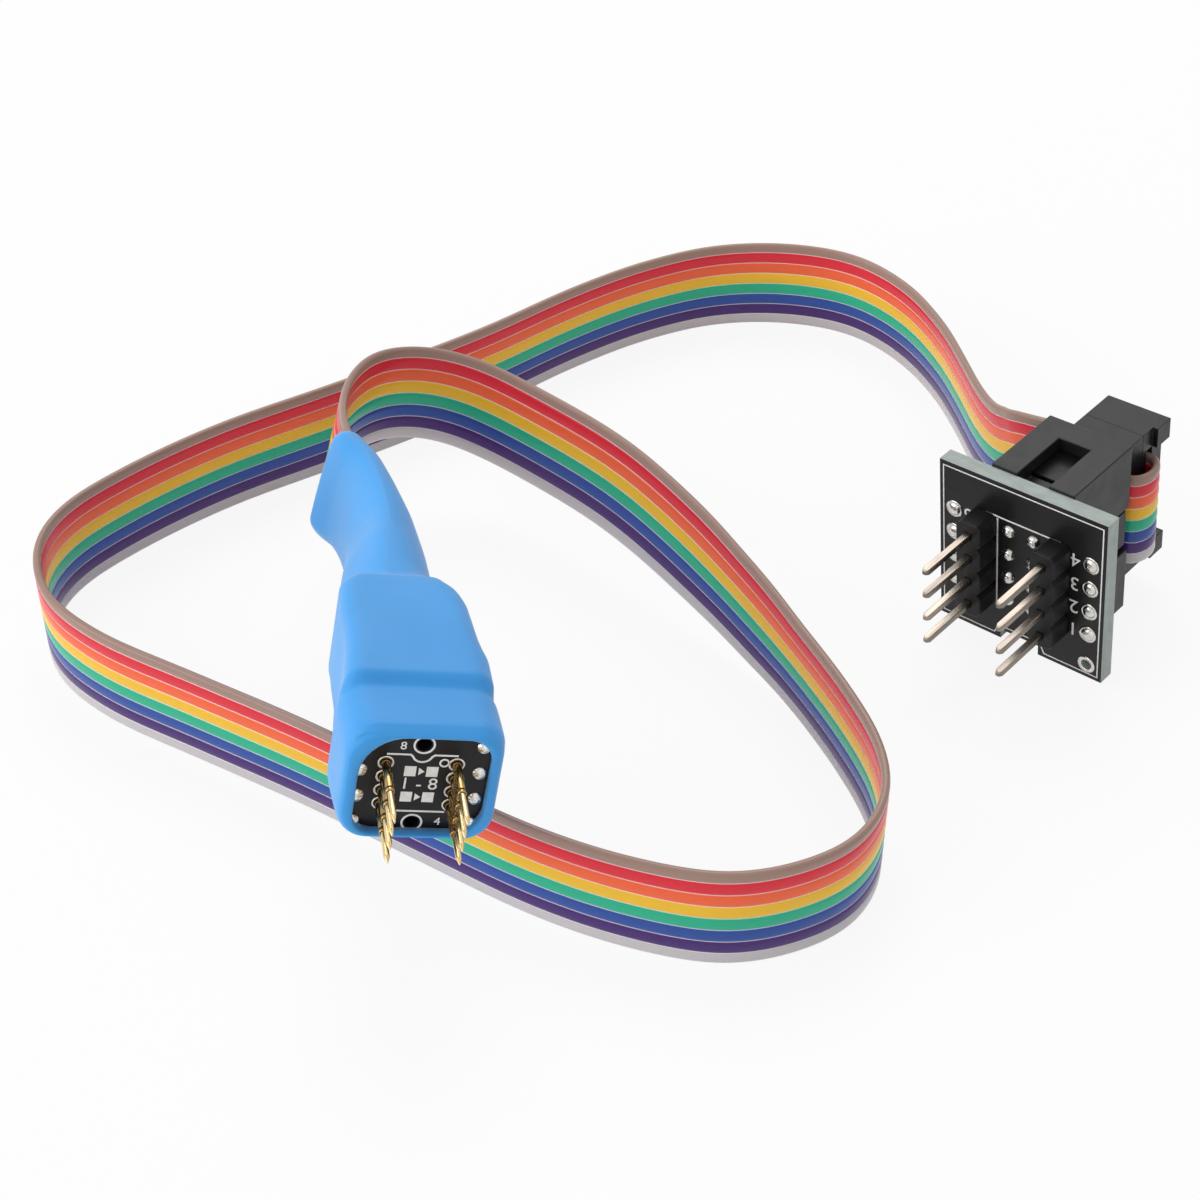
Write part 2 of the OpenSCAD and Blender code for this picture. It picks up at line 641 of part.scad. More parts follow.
// Body of the ribbon plug, with its key and a square hole for each contact.
module plug_body()
    color([0.09, 0.09, 0.10])
        place_adapter()
            difference() {
                union() {
                    block([-plug_w / 2, plug_front, -plug_h / 2], [plug_w / 2, plug_back, plug_h / 2]);
                    block([plug_w / 2 - 0.1, plug_front + 2.2, -key_w / 2],
                        [plug_w / 2 + key_h, header_back - 0.1, key_w / 2]);
                }
                header_grid(contact_side, plug_front - 1, plug_back + 1);
            }

// Sprung tubes that take the header pins, each with a blade up to its wire.
module plug_contacts()
    color([0.82, 0.70, 0.42])
        place_adapter()
            difference() {
                header_grid(contact_side, plug_front + 0.3, plug_back);
                header_grid(pin_side + 2 * contact_fit, plug_front - 1, pin_reach + 0.4);
            }

// Bar across the plug with a foot at each end.
module clamp_bar(from, to, foot) {
    block([-plug_w / 2, from, -plug_h / 2], [plug_w / 2, to, plug_h / 2]);
    for (s = [0, 1])
        mirror([0, 0, s])
            block([-plug_w / 2, foot, plug_h / 2 - plug_end], [plug_w / 2, from + 0.1, plug_h / 2]);
}

// Cover that presses the ribbon on to the contacts.
module plug_cover()
    color([0.09, 0.09, 0.10])
        place_adapter()
            difference() {
                clamp_bar(cover_front, cover_front + cover_t, plug_back);
                for (s = [0, 1])
                    mirror([0, 0, s])
                        block([-plug_w, cover_front + cover_t - latch_reach, plug_h / 2 - plug_end],
                            [plug_w, cover_front + cover_t + 1, plug_h]);
            }

// Strap that holds the folded ribbon, with a boss at each end.
module strain_relief()
    color([0.09, 0.09, 0.10])
        place_adapter() {
            clamp_bar(strap_front, strap_front + strap_t, cover_front + cover_t - latch_reach);
            for (s = [0, 1])
                mirror([0, 0, s])
                    block([-plug_w / 2, strap_front, plug_h / 2 - plug_end],
                        [plug_w / 2 + 0.5, strap_front + strap_t + 0.5, plug_h / 2]);
        }

// Shrouded header, open at the back, with end slots and a key slot.
module box_header()
    color([0.08, 0.08, 0.09])
        place_adapter()
            difference() {
                block([-header_w / 2, board_t, -header_h / 2], [header_w / 2, header_back, header_h / 2]);
                block([-well_u / 2, board_t + header_floor, -well_v / 2],
                    [well_u / 2, header_back + 1, well_v / 2]);
                for (s = [0, 1])
                    mirror([0, 0, s])
                        block([-end_slot_w / 2, board_t - 1, well_v / 2 - 0.3],
                            [end_slot_w / 2, board_t + end_slot_d, header_h / 2 + 1]);
                block([well_u / 2 - 0.3, board_t + header_floor + 0.4, -key_slot_w / 2],
                    [header_w / 2 + 1, header_back + 1, key_slot_w / 2]);
                header_grid(pin_side, board_t - 1, board_t + header_floor + 1);
            }

// Header pins from the board's front face into the plug.
module header_pins()
    color([0.82, 0.78, 0.66])
        place_adapter()
            header_grid(pin_side, 0, pin_reach);

// Plated pads outside the strips, and the spare pad in the lower corner.
pad_places = concat([for (x = [-0.5, 0.5], k = [-1.5:1:1.5]) [x * pad_gap, k * grid]]);
spare_pad = [pad_gap / 2, -board_h / 2 + 1.4];

// Board that joins the header to the two pin strips.
module adapter_board()
    color([0.05, 0.06, 0.06])
        place_adapter()
            difference() {
                block([-board_w / 2, 0, -board_h / 2], [board_w / 2, board_t, board_h / 2]);
                block([-notch_w / 2, -1, -board_h / 2 - 1],
                    [notch_w / 2, board_t + 1, notch_d - board_h / 2]);
                header_grid(pin_side, -1, board_t + 1);
                strip_pins(-strip_gap / 2, -1, board_t + 1);
                strip_pins(strip_gap / 2, -1, board_t + 1);
                for (p = concat(pad_places, [spare_pad]))
                    translate([p[0], 0, p[1]])
                        bar_y(pad_bore, -1, board_t + 1);
            }

// Four square bars of a pin strip.
module strip_pins(x, from, to)
    for (k = [-1.5:1:1.5])
        block([x - pin_side / 2, from, k * grid - pin_side / 2],
            [x + pin_side / 2, to, k * grid + pin_side / 2]);

// Base of a pin strip, waisted between the pins.
module strip_base(x)
    difference() {
        block([x - strip_t / 2, -strip_t, -2 * grid], [x + strip_t / 2, 0, 2 * grid]);
        for (k = [-2:2], s = [-1, 1])
            translate([x + s * strip_t / 2, -strip_t / 2, k * grid])
                rotate([0, 45, 0])
                    cube([0.6, strip_t + 1, 0.6], center = true);
        strip_pins(x, -strip_t - 1, 1);
    }

// Four pins of a strip, with tapered ends.
module strip_set(x) {
    strip_pins(x, -strip_t - strip_pin + 0.4, board_t);
    for (k = [-1.5:1:1.5])
        translate([x, -strip_t - strip_pin, k * grid])
            rotate([-90, 45, 0])
                cylinder(d1 = pin_side * 0.8, d2 = pin_side * sqrt(2), h = 0.4, $fn = 4);
}

module dip_base_left() color([0.07, 0.07, 0.08]) place_adapter() strip_base(-strip_gap / 2);
module dip_base_right() color([0.07, 0.07, 0.08]) place_adapter() strip_base(strip_gap / 2);
module dip_pins_left() color([0.80, 0.76, 0.70]) place_adapter() strip_set(-strip_gap / 2);
module dip_pins_right() color([0.80, 0.76, 0.70]) place_adapter() strip_set(strip_gap / 2);

// Solder on the header pins and in the plated pads.
module adapter_solder()
    color([0.78, 0.78, 0.76])
        place_adapter() {
            for (p = header_places)
                translate([p[0], 0, p[1]])
                    solder_dome(1.3, 0.5);
            for (p = pad_places)
                translate([p[0], 0, p[1]]) {
                    solder_dome(1.5, 0.3);
                    bar_y(pad_bore, 0, board_t);
                }
        }

grip_sleeve();
tip_board();
rear_board();
link_posts_left();
link_posts_right();
tip_solder();
barrel_1();
barrel_2();
barrel_3();
barrel_4();
barrel_5();
barrel_6();
barrel_7();
barrel_8();
plunger_1();
plunger_2();
plunger_3();
plunger_4();
plunger_5();
plunger_6();
plunger_7();
plunger_8();
spring_1();
spring_2();
spring_3();
spring_4();
spring_5();
spring_6();
spring_7();
spring_8();
wire_brown();
wire_red();
wire_orange();
wire_yellow();
wire_green();
wire_blue();
wire_purple();
wire_grey();
plug_body();
plug_contacts();
plug_cover();
strain_relief();
box_header();
header_pins();
adapter_board();
dip_base_left();
dip_base_right();
dip_pins_left();
dip_pins_right();
adapter_solder();
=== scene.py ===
"""Looks of the chip programming probe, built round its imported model.

Sizes are millimetres in the frame of each sub-assembly; meshes are metres in the shared frame.
"""

import logging
import math
from collections.abc import Iterable, Sequence
from dataclasses import dataclass, replace
from enum import Enum
from itertools import pairwise

import bmesh
import bpy
from mathutils import Euler, Matrix, Vector


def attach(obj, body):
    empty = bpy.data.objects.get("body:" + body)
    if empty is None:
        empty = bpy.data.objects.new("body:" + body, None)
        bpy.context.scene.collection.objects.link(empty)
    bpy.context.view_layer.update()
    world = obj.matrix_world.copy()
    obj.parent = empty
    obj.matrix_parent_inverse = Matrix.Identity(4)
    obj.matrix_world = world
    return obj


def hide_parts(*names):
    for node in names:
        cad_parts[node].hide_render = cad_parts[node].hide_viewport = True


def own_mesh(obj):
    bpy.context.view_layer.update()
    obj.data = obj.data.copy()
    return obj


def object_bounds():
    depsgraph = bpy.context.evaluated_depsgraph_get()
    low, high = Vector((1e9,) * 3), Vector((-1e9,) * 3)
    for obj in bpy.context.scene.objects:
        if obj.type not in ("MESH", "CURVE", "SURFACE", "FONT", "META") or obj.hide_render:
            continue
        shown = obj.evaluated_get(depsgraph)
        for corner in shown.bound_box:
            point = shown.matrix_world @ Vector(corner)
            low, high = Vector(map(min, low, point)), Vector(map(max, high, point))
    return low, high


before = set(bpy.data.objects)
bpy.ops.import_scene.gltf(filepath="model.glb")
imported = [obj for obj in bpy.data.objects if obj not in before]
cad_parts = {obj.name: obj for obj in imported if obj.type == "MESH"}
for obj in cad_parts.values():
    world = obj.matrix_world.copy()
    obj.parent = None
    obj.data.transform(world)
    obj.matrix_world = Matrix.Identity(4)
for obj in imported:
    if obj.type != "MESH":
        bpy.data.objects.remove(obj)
cad_low, cad_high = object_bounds()

MM = 0.001
HAND_BODY = "probe_and_ribbon"
ADAPTER_BODY = "adapter"
HIGHLIGHT_SEAM = "seam"
WHITE = (1.0, 1.0, 1.0, 1.0)
POLE_WELD = 1e-5
NODE_WELD = 2e-7
FLAT_ANGLE = math.radians(0.5)
EDGE_ANGLE = math.radians(40)
log = logging.getLogger("probe")

Point = tuple[float, float, float]
Flat = tuple[float, float]
Colour = tuple[float, float, float]
Knot = tuple[Vector, Vector]


def linear(colour: Colour) -> tuple[float, float, float, float]:
    """Turns a display colour into the shader's linear one, by the standard curve of displays.

    Args:
        colour: Red, green and blue from 0 to 255, as seen on a screen.

    Returns:
        Red, green, blue and alpha for a colour socket.
    """
    parts = [part / 255 for part in colour]
    bent = [part / 12.92 if part <= 0.04045 else ((part + 0.055) / 1.055) ** 2.4 for part in parts]
    return (*bent, 1.0)


def scaled(colour: Colour, factor: float) -> Colour:
    """Makes a colour lighter or darker by a factor."""
    return tuple(min(255.0, part * factor) for part in colour)


@dataclass(frozen=True)
class Placement:
    """Where a sub-assembly's own frame sits in the shared frame."""

    origin: Point
    turn: float = 0.0
    lean: float = 0.0
    roll: float = 0.0

    def rotation(self) -> Matrix:
        """Gives the frame's turn as a matrix."""
        turn = Matrix.Rotation(math.radians(self.turn), 4, "Z")
        lean = Matrix.Rotation(math.radians(self.lean), 4, "X")
        return turn @ lean @ Matrix.Rotation(math.radians(self.roll), 4, "Y")

    def matrix(self) -> Matrix:
        """Gives the move from the frame's millimetres to metres in the shared frame."""
        return Matrix.Scale(MM, 4) @ Matrix.Translation(self.origin) @ self.rotation()

    def face(self) -> Matrix:
        """Gives the move from a drawing on the frame's front face, with its height along Z."""
        return self.matrix() @ Matrix.Rotation(math.radians(90), 4, "X")

    def point(self, place: Sequence[float]) -> Vector:
        """Moves a point of the frame to millimetres in the shared frame."""
        return Vector(self.origin) + self.rotation() @ Vector(place)

    def direction(self, way: Sequence[float]) -> Vector:
        """Turns a direction of the frame into the shared frame."""
        return self.rotation() @ Vector(way)


GRIP = Placement((-33.26, -17.9, 17.45), lean=-3.0, roll=11.0)
ADAPTER = Placement((22.34, 9.0, 9.25), turn=-52.5, lean=4.5, roll=-4.0)
SHARED = Placement((0.0, 0.0, 0.0))


class NodeSheet:
    """Adds nodes to one tree and joins them, so that a tree reads as a list of steps."""

    def __init__(self, tree: bpy.types.NodeTree) -> None:
        """Takes the tree to fill."""
        self.tree = tree

    def add(self, kind: str, inputs: dict | None = None, **settings: object) -> bpy.types.Node:
        """Adds a node.

        Args:
            kind: Blender's name of the node type.
            inputs: A value or a socket for each input, by its name or number.
            settings: The node's own properties.

        Returns:
            The new node.
        """
        node = self.tree.nodes.new(kind)
        for name, value in settings.items():
            setattr(node, name, value)
        for key, value in (inputs or {}).items():
            if isinstance(value, bpy.types.NodeSocket):
                self.tree.links.new(value, node.inputs[key])
            else:
                node.inputs[key].default_value = value
        return node

    def socket(self, name: str, kind: str, side: str = "INPUT", default: float | None = None) -> None:
        """Adds a named socket to the tree's interface.

        Args:
            name: The socket's name.
            kind: Blender's name of the socket type.
            side: INPUT or OUTPUT.
            default: The value that an input starts from.
        """
        made = self.tree.interface.new_socket(name=name, in_out=side, socket_type=kind)
        if default is not None:
            made.default_value = default

    def numbers(self, **defaults: float) -> None:
        """Adds a number input for each name, with the value that it starts from."""
        for name, default in defaults.items():
            self.socket(name, "NodeSocketFloat", default=default)


class Repeat(Enum):
    """The node trees for what repeats or follows a path."""

    RINGS = "rings_at_points"
    COPIES = "copies_at_points"
    LINES = "printed_lines"
    COIL = "wound_coil"


class TreeShop:
    """Builds each geometry tree once and turns objects into plain meshes with it."""

    RING_STEPS = 40
    COIL_STEPS = 20
    WIRE_STEPS = 8

    def __init__(self) -> None:
        """Starts with no tree built."""
        self.trees: dict[Repeat, bpy.types.NodeTree] = {}

    def tree(self, kind: Repeat) -> bpy.types.NodeTree:
        """Gives a tree, building it at its first use.

        Args:
            kind: Which tree.

        Returns:
            The geometry node group.
        """
        if kind not in self.trees:
            group = bpy.data.node_groups.new(kind.value, "GeometryNodeTree")
            sheet = NodeSheet(group)
            sheet.socket("Geometry", "NodeSocketGeometry")
            sheet.socket("Geometry", "NodeSocketGeometry", "OUTPUT")
            sheet.socket("Material", "NodeSocketMaterial")
            builders = {
                Repeat.RINGS: self._rings,
                Repeat.COPIES: self._copies,
                Repeat.LINES: self._lines,
                Repeat.COIL: self._coil,
            }
            start, shape = builders[kind](sheet)
            real = sheet.add("GeometryNodeRealizeInstances", {"Geometry": shape})
            dressed = sheet.add(
                "GeometryNodeSetMaterial",
                {"Geometry": real.outputs[0], "Material": start.outputs["Material"]},
            )
            sheet.add("NodeGroupOutput", {"Geometry": dressed.outputs[0]})
            self.trees[kind] = group
        return self.trees[kind]

    @staticmethod
    def _flat_bar(sheet: NodeSheet, start: bpy.types.Node) -> bpy.types.Node:
        """Adds the flat section of a printed line or ring."""
        return sheet.add(
            "GeometryNodeCurvePrimitiveQuadrilateral",
            {"Width": start.outputs["Width"], "Height": start.outputs["Height"]},
        )

    def _rings(self, sheet: NodeSheet) -> tuple[bpy.types.Node, bpy.types.NodeSocket]:
        """Builds flat rings at the points of a mesh.

        Args:
            sheet: The tree to fill.

        Returns:
            The group's input node and the shape's socket.
        """
        sheet.numbers(Radius=1.0, Width=0.2, Height=0.05)
        start = sheet.add("NodeGroupInput")
        circle = sheet.add(
            "GeometryNodeCurvePrimitiveCircle",
            {"Resolution": self.RING_STEPS, "Radius": start.outputs["Radius"]},
        )
        bar = self._flat_bar(sheet, start)
        ring = sheet.add(
            "GeometryNodeCurveToMesh", {"Curve": circle.outputs[0], "Profile Curve": bar.outputs[0]}
        )
        many = sheet.add(
            "GeometryNodeInstanceOnPoints",
            {"Points": start.outputs["Geometry"], "Instance": ring.outputs[0]},
        )
        return start, many.outputs[0]

    def _copies(self, sheet: NodeSheet) -> tuple[bpy.types.Node, bpy.types.NodeSocket]:
        """Builds copies of one object at points, each spun and scaled a little by chance.

        Args:
            sheet: The tree to fill.

        Returns:
            The group's input node and the shape's socket.
        """
        sheet.socket("Pattern", "NodeSocketObject")
        sheet.numbers(Spin=0.0, Spread=0.0)
        sheet.socket("Seed", "NodeSocketInt", default=1)
        start = sheet.add("NodeGroupInput")
        pattern = sheet.add("GeometryNodeObjectInfo", {"Object": start.outputs["Pattern"]})

        def chance(low: object, high: object) -> bpy.types.NodeSocket:
            """Adds a random number between two values or sockets."""
            ends = {2: low, 3: high, "Seed": start.outputs["Seed"]}
            return sheet.add("FunctionNodeRandomValue", ends, data_type="FLOAT").outputs[1]

        turn = sheet.add("ShaderNodeCombineXYZ", {"Z": chance(0.0, start.outputs["Spin"])})
        low, high = (
            sheet.add("ShaderNodeMath", {0: 1.0, 1: start.outputs["Spread"]}, operation=way).outputs[0]
            for way in ("SUBTRACT", "ADD")
        )
        many = sheet.add(
            "GeometryNodeInstanceOnPoints",
            {
                "Points": start.outputs["Geometry"],
                "Instance": pattern.outputs["Geometry"],
                "Rotation": turn.outputs[0],
                "Scale": chance(low, high),
            },
        )
        return start, many.outputs[0]

    def _lines(self, sheet: NodeSheet) -> tuple[bpy.types.Node, bpy.types.NodeSocket]:
        """Builds flat printed lines along flat curves.

        Args:
            sheet: The tree to fill.

        Returns:
            The group's input node and the shape's socket.
        """
        sheet.numbers(Width=0.2, Height=0.05)
        start = sheet.add("NodeGroupInput")
        flat = sheet.add("GeometryNodeSetCurveNormal", {"Curve": start.outputs["Geometry"]}, mode="Z_UP")
        bar = self._flat_bar(sheet, start)
        strip = sheet.add(
            "GeometryNodeCurveToMesh",
            {"Curve": flat.outputs[0], "Profile Curve": bar.outputs[0], "Fill Caps": True},
        )
        return start, strip.outputs[0]

    def _coil(self, sheet: NodeSheet) -> tuple[bpy.types.Node, bpy.types.NodeSocket]:
        """Builds a wire coil along Z.

        Args:
            sheet: The tree to fill.

        Returns:
            The group's input node and the shape's socket.
        """
        sheet.numbers(Radius=0.2, Length=5.0, Turns=8.0, Wire=0.04)
        start = sheet.add("NodeGroupInput")
        helix = sheet.add(
            "GeometryNodeCurveSpiral",
            {
                "Resolution": self.COIL_STEPS,
                "Rotations": start.outputs["Turns"],
                "Start Radius": start.outputs["Radius"],
                "End Radius": start.outputs["Radius"],
                "Height": start.outputs["Length"],
            },
        )
        section = sheet.add(
            "GeometryNodeCurvePrimitiveCircle",
            {"Resolution": self.WIRE_STEPS, "Radius": start.outputs["Wire"]},
        )
        wire = sheet.add(
            "GeometryNodeCurveToMesh",
            {"Curve": helix.outputs[0], "Profile Curve": section.outputs[0], "Fill Caps": True},
        )
        return start, wire.outputs[0]

    def run(self, kind: Repeat, seed: bpy.types.Object, move: Matrix, **values: object) -> bpy.types.Mesh:
        """Runs a tree on an object and gives the result as a plain mesh.

        Args:
            kind: Which tree.
            seed: The object that carries the points or curves; it is removed.
            move: The move from the drawing to the shared frame.
            values: The tree's inputs by name.

        Returns:
            The finished mesh, at its place.
        """
        tree = self.tree(kind)
        modifier = seed.modifiers.new(kind.value, "NODES")
        modifier.node_group = tree
        for item in tree.interface.items_tree:
            if item.in_out == "INPUT" and item.name in values:
                modifier[item.identifier] = values[item.name]
        mesh = baked(seed)
        mesh.transform(move)
        return mesh


SHOP = TreeShop()


def link(name: str, data: bpy.types.ID) -> bpy.types.Object:
    """Makes an object at the origin and puts it in the scene.

    Args:
        name: The piece's name.
        data: Its mesh or curve.

    Returns:
        The new object.
    """
    piece = bpy.data.objects.new(name, data)
    bpy.context.scene.collection.objects.link(piece)
    return piece


def baked(carrier: bpy.types.Object) -> bpy.types.Mesh:
    """Gives an object's finished shape as a plain mesh and removes the object.

    Args:
        carrier: The object, with its modifiers or its text.

    Returns:
        The mesh.
    """
    graph = bpy.context.evaluated_depsgraph_get()
    mesh = bpy.data.meshes.new_from_object(carrier.evaluated_get(graph))
    bpy.data.objects.remove(carrier)
    return mesh


def mesh_of(
    name: str, points: Sequence[Sequence[float]], faces: Sequence[Sequence[int]], weld: float = 0.0
) -> bpy.types.Mesh:
    """Makes a mesh from points and faces, with its faces turned outwards.

    Args:
        name: The mesh's name.
        points: The corner points.
        faces: The corners of each face.
        weld: The distance within which points become one, or 0 to keep them all.

    Returns:
        The mesh, smooth shaded.
    """
    mesh = bpy.data.meshes.new(name)
    mesh.from_pydata([tuple(point) for point in points], [], [tuple(face) for face in faces])
    work = bmesh.new()
    work.from_mesh(mesh)
    if weld:
        bmesh.ops.remove_doubles(work, verts=work.verts, dist=weld)
        bmesh.ops.dissolve_degenerate(work, edges=work.edges, dist=weld)
    bmesh.ops.recalc_face_normals(work, faces=work.faces)
    work.to_mesh(mesh)
    work.free()
    mesh.shade_smooth()
    return mesh


def strips(rings: int, count: int, closed: bool) -> list[tuple[int, int, int, int]]:
    """Gives the faces between rings of points.

    Args:
        rings: The number of rings.
        count: The points in each ring.
        closed: Whether the last ring joins the first.

    Returns:
        The corners of each face.
    """
    faces = []
    for ring in range(rings if closed else rings - 1):
        here, there = ring * count, (ring + 1) % rings * count
        for i in range(count):
            j = (i + 1) % count
            faces.append((here + i, here + j, there + j, there + i))
    return faces


def merged(name: str, meshes: Iterable[bpy.types.Mesh]) -> bpy.types.Mesh:
    """Joins meshes into one.

    Args:
        name: The new mesh's name.
        meshes: The meshes to join, which are removed.

    Returns:
        The joined mesh, without materials.
    """
    work = bmesh.new()
    for mesh in meshes:
        work.from_mesh(mesh)
        bpy.data.meshes.remove(mesh)
    whole = bpy.data.meshes.new(name)
    work.to_mesh(whole)
    work.free()
    return whole


def point_object(places: Iterable[Flat]) -> bpy.types.Object:
    """Makes an object of loose points on a drawing, for a tree to use.

    Args:
        places: The points across and up the face.

    Returns:
        The object.
    """
    mesh = bpy.data.meshes.new("points")
    mesh.from_pydata([(across, up, 0.0) for across, up in places], [], [])
    return link("points", mesh)


def line_object(lines: Iterable[Sequence[Flat]], height: float) -> bpy.types.Object:
    """Makes an object of straight lines on a drawing, for a tree to use.

    Args:
        lines: The corner points of each line; a line that ends where it starts is closed.
        height: Their height off the face.

    Returns:
        The curve object.
    """
    curve = bpy.data.curves.new("lines", "CURVE")
    curve.dimensions = "3D"
    for line in lines:
        closed = line[0] == line[-1]
        corners = line[:-1] if closed else line
        spline = curve.splines.new("POLY")
        spline.points.add(len(corners) - 1)
        for knot, (across, up) in zip(spline.points, corners):
            knot.co = (across, up, height, 1.0)
        spline.use_cyclic_u = closed
    return link("lines", curve)


def prism(outline: Sequence[Flat], thickness: float) -> bpy.types.Mesh:
    """Makes a flat plate of any outline on a drawing.

    Args:
        outline: The corners in order.
        thickness: The plate's thickness.

    Returns:
        The mesh, flat shaded.
    """
    count = len(outline)
    points = [(*corner, height) for height in (0.0, thickness) for corner in outline]
    faces = [list(range(count))[::-1], list(range(count, 2 * count))]
    faces += [[i, (i + 1) % count, count + (i + 1) % count, count + i] for i in range(count)]
    mesh = mesh_of("plate", points, faces)
    mesh.shade_flat()
    return mesh


def numeral(text: str, size: float, place: Flat, height: float, turn: float = 0.0) -> bpy.types.Mesh:
    """Makes a plain number on a drawing.

    Args:
        text: The digits.
        size: The height of the type.
        place: Its middle on the face.
        height: The thickness of the ink.
        turn: Its turn on the face, degrees.

    Returns:
        The mesh.
    """
    curve = bpy.data.curves.new("number", "FONT")
    curve.body = text
    curve.size = size
    curve.extrude = height / 2
    curve.align_x = "CENTER"
    curve.align_y = "CENTER"
    mesh = baked(link("number", curve))
    spin = Matrix.Rotation(math.radians(turn), 4, "Z")
    mesh.transform(Matrix.Translation((*place, height / 2)) @ spin)
    return mesh


def lathe(profile: Sequence[Flat], segments: int) -> bpy.types.Mesh:
    """Turns a closed profile round the Z axis.

    Args:
        profile: Radius and height of each corner, once round the section.
        segments: The number of steps in a turn.

    Returns:
        The mesh, with its seams and poles closed.
    """
    points = [
        (radius * math.cos(angle), radius * math.sin(angle), height)
        for angle in (math.tau * step / segments for step in range(segments))
        for radius, height in profile
    ]
    return mesh_of("turned", points, strips(segments, len(profile), closed=True), POLE_WELD)


def set_sharp(mesh: bpy.types.Mesh, degrees: float) -> None:
    """Marks edges sharper than an angle, so that smooth shading stops at them."""
    mesh.set_sharp_from_angle(angle=math.radians(degrees))


def rounded_copy(node: str, width: float, segments: int = 2) -> bpy.types.Mesh:
    """Copies a node's mesh and rounds its edges.

    Args:
        node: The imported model's node.
        width: The width of the rounding, millimetres.
        segments: The steps across the rounding.

    Returns:
        The new mesh in metres, smooth shaded with hard flats.
    """
    work = bmesh.new()
    work.from_mesh(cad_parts[node].data)
    bmesh.ops.remove_doubles(work, verts=work.verts, dist=NODE_WELD)
    bmesh.ops.dissolve_limit(
        work, angle_limit=FLAT_ANGLE, verts=work.verts, edges=work.edges, use_dissolve_boundaries=False
    )
    mesh = bpy.data.meshes.new(f"{node}_rounded")
    work.to_mesh(mesh)
    work.free()
    for name in ("custom_normal", "sharp_face", "sharp_edge"):
        if name in mesh.attributes:
            mesh.attributes.remove(mesh.attributes[name])
    mesh.shade_smooth()
    carrier = link("carrier", mesh)
    bevel = carrier.modifiers.new("edge", "BEVEL")
    bevel.width = width * MM
    bevel.segments = segments
    bevel.limit_method = "ANGLE"
    bevel.angle_limit = EDGE_ANGLE
    bevel.harden_normals = True
    bevel.use_clamp_overlap = True
    return baked(carrier)


class Grain:
    """The shader node group that the finishes share."""

    NAME = "soft_patches"
    DETAIL = 3.0
    NOISE_LOW = 0.3
    NOISE_HIGH = 0.7

    @classmethod
    def patches(cls) -> bpy.types.NodeTree:
        """Gives the group of soft random patches, building it at its first use.

        Returns:
            A group with Vector, Stretch, Scale, Low and High inputs and a Value output.
        """
        return bpy.data.node_groups.get(cls.NAME) or cls._build()

    @classmethod
    def _build(cls) -> bpy.types.NodeTree:
        """Builds the group.

        Returns:
            The new group.
        """
        group = bpy.data.node_groups.new(cls.NAME, "ShaderNodeTree")
        sheet = NodeSheet(group)
        sheet.socket("Vector", "NodeSocketVector")
        sheet.socket("Stretch", "NodeSocketVector")
        sheet.numbers(Scale=100.0, Low=0.0, High=1.0)
        sheet.socket("Value", "NodeSocketFloat", "OUTPUT")
        start = sheet.add("NodeGroupInput")
        drawn = sheet.add(
            "ShaderNodeVectorMath",
            {0: start.outputs["Vector"], 1: start.outputs["Stretch"]},
            operation="MULTIPLY",
        )
        noise = sheet.add(
            "ShaderNodeTexNoise",
            {"Vector": drawn.outputs[0], "Scale": start.outputs["Scale"], "Detail": cls.DETAIL},
        )
        spread = sheet.add(
            "ShaderNodeMapRange",
            {
                "Value": noise.outputs[0],
                "From Min": cls.NOISE_LOW,
                "From Max": cls.NOISE_HIGH,
                "To Min": start.outputs["Low"],
                "To Max": start.outputs["High"],
            },
        )
        sheet.add("NodeGroupOutput", {"Value": spread.outputs[0]})
        return group


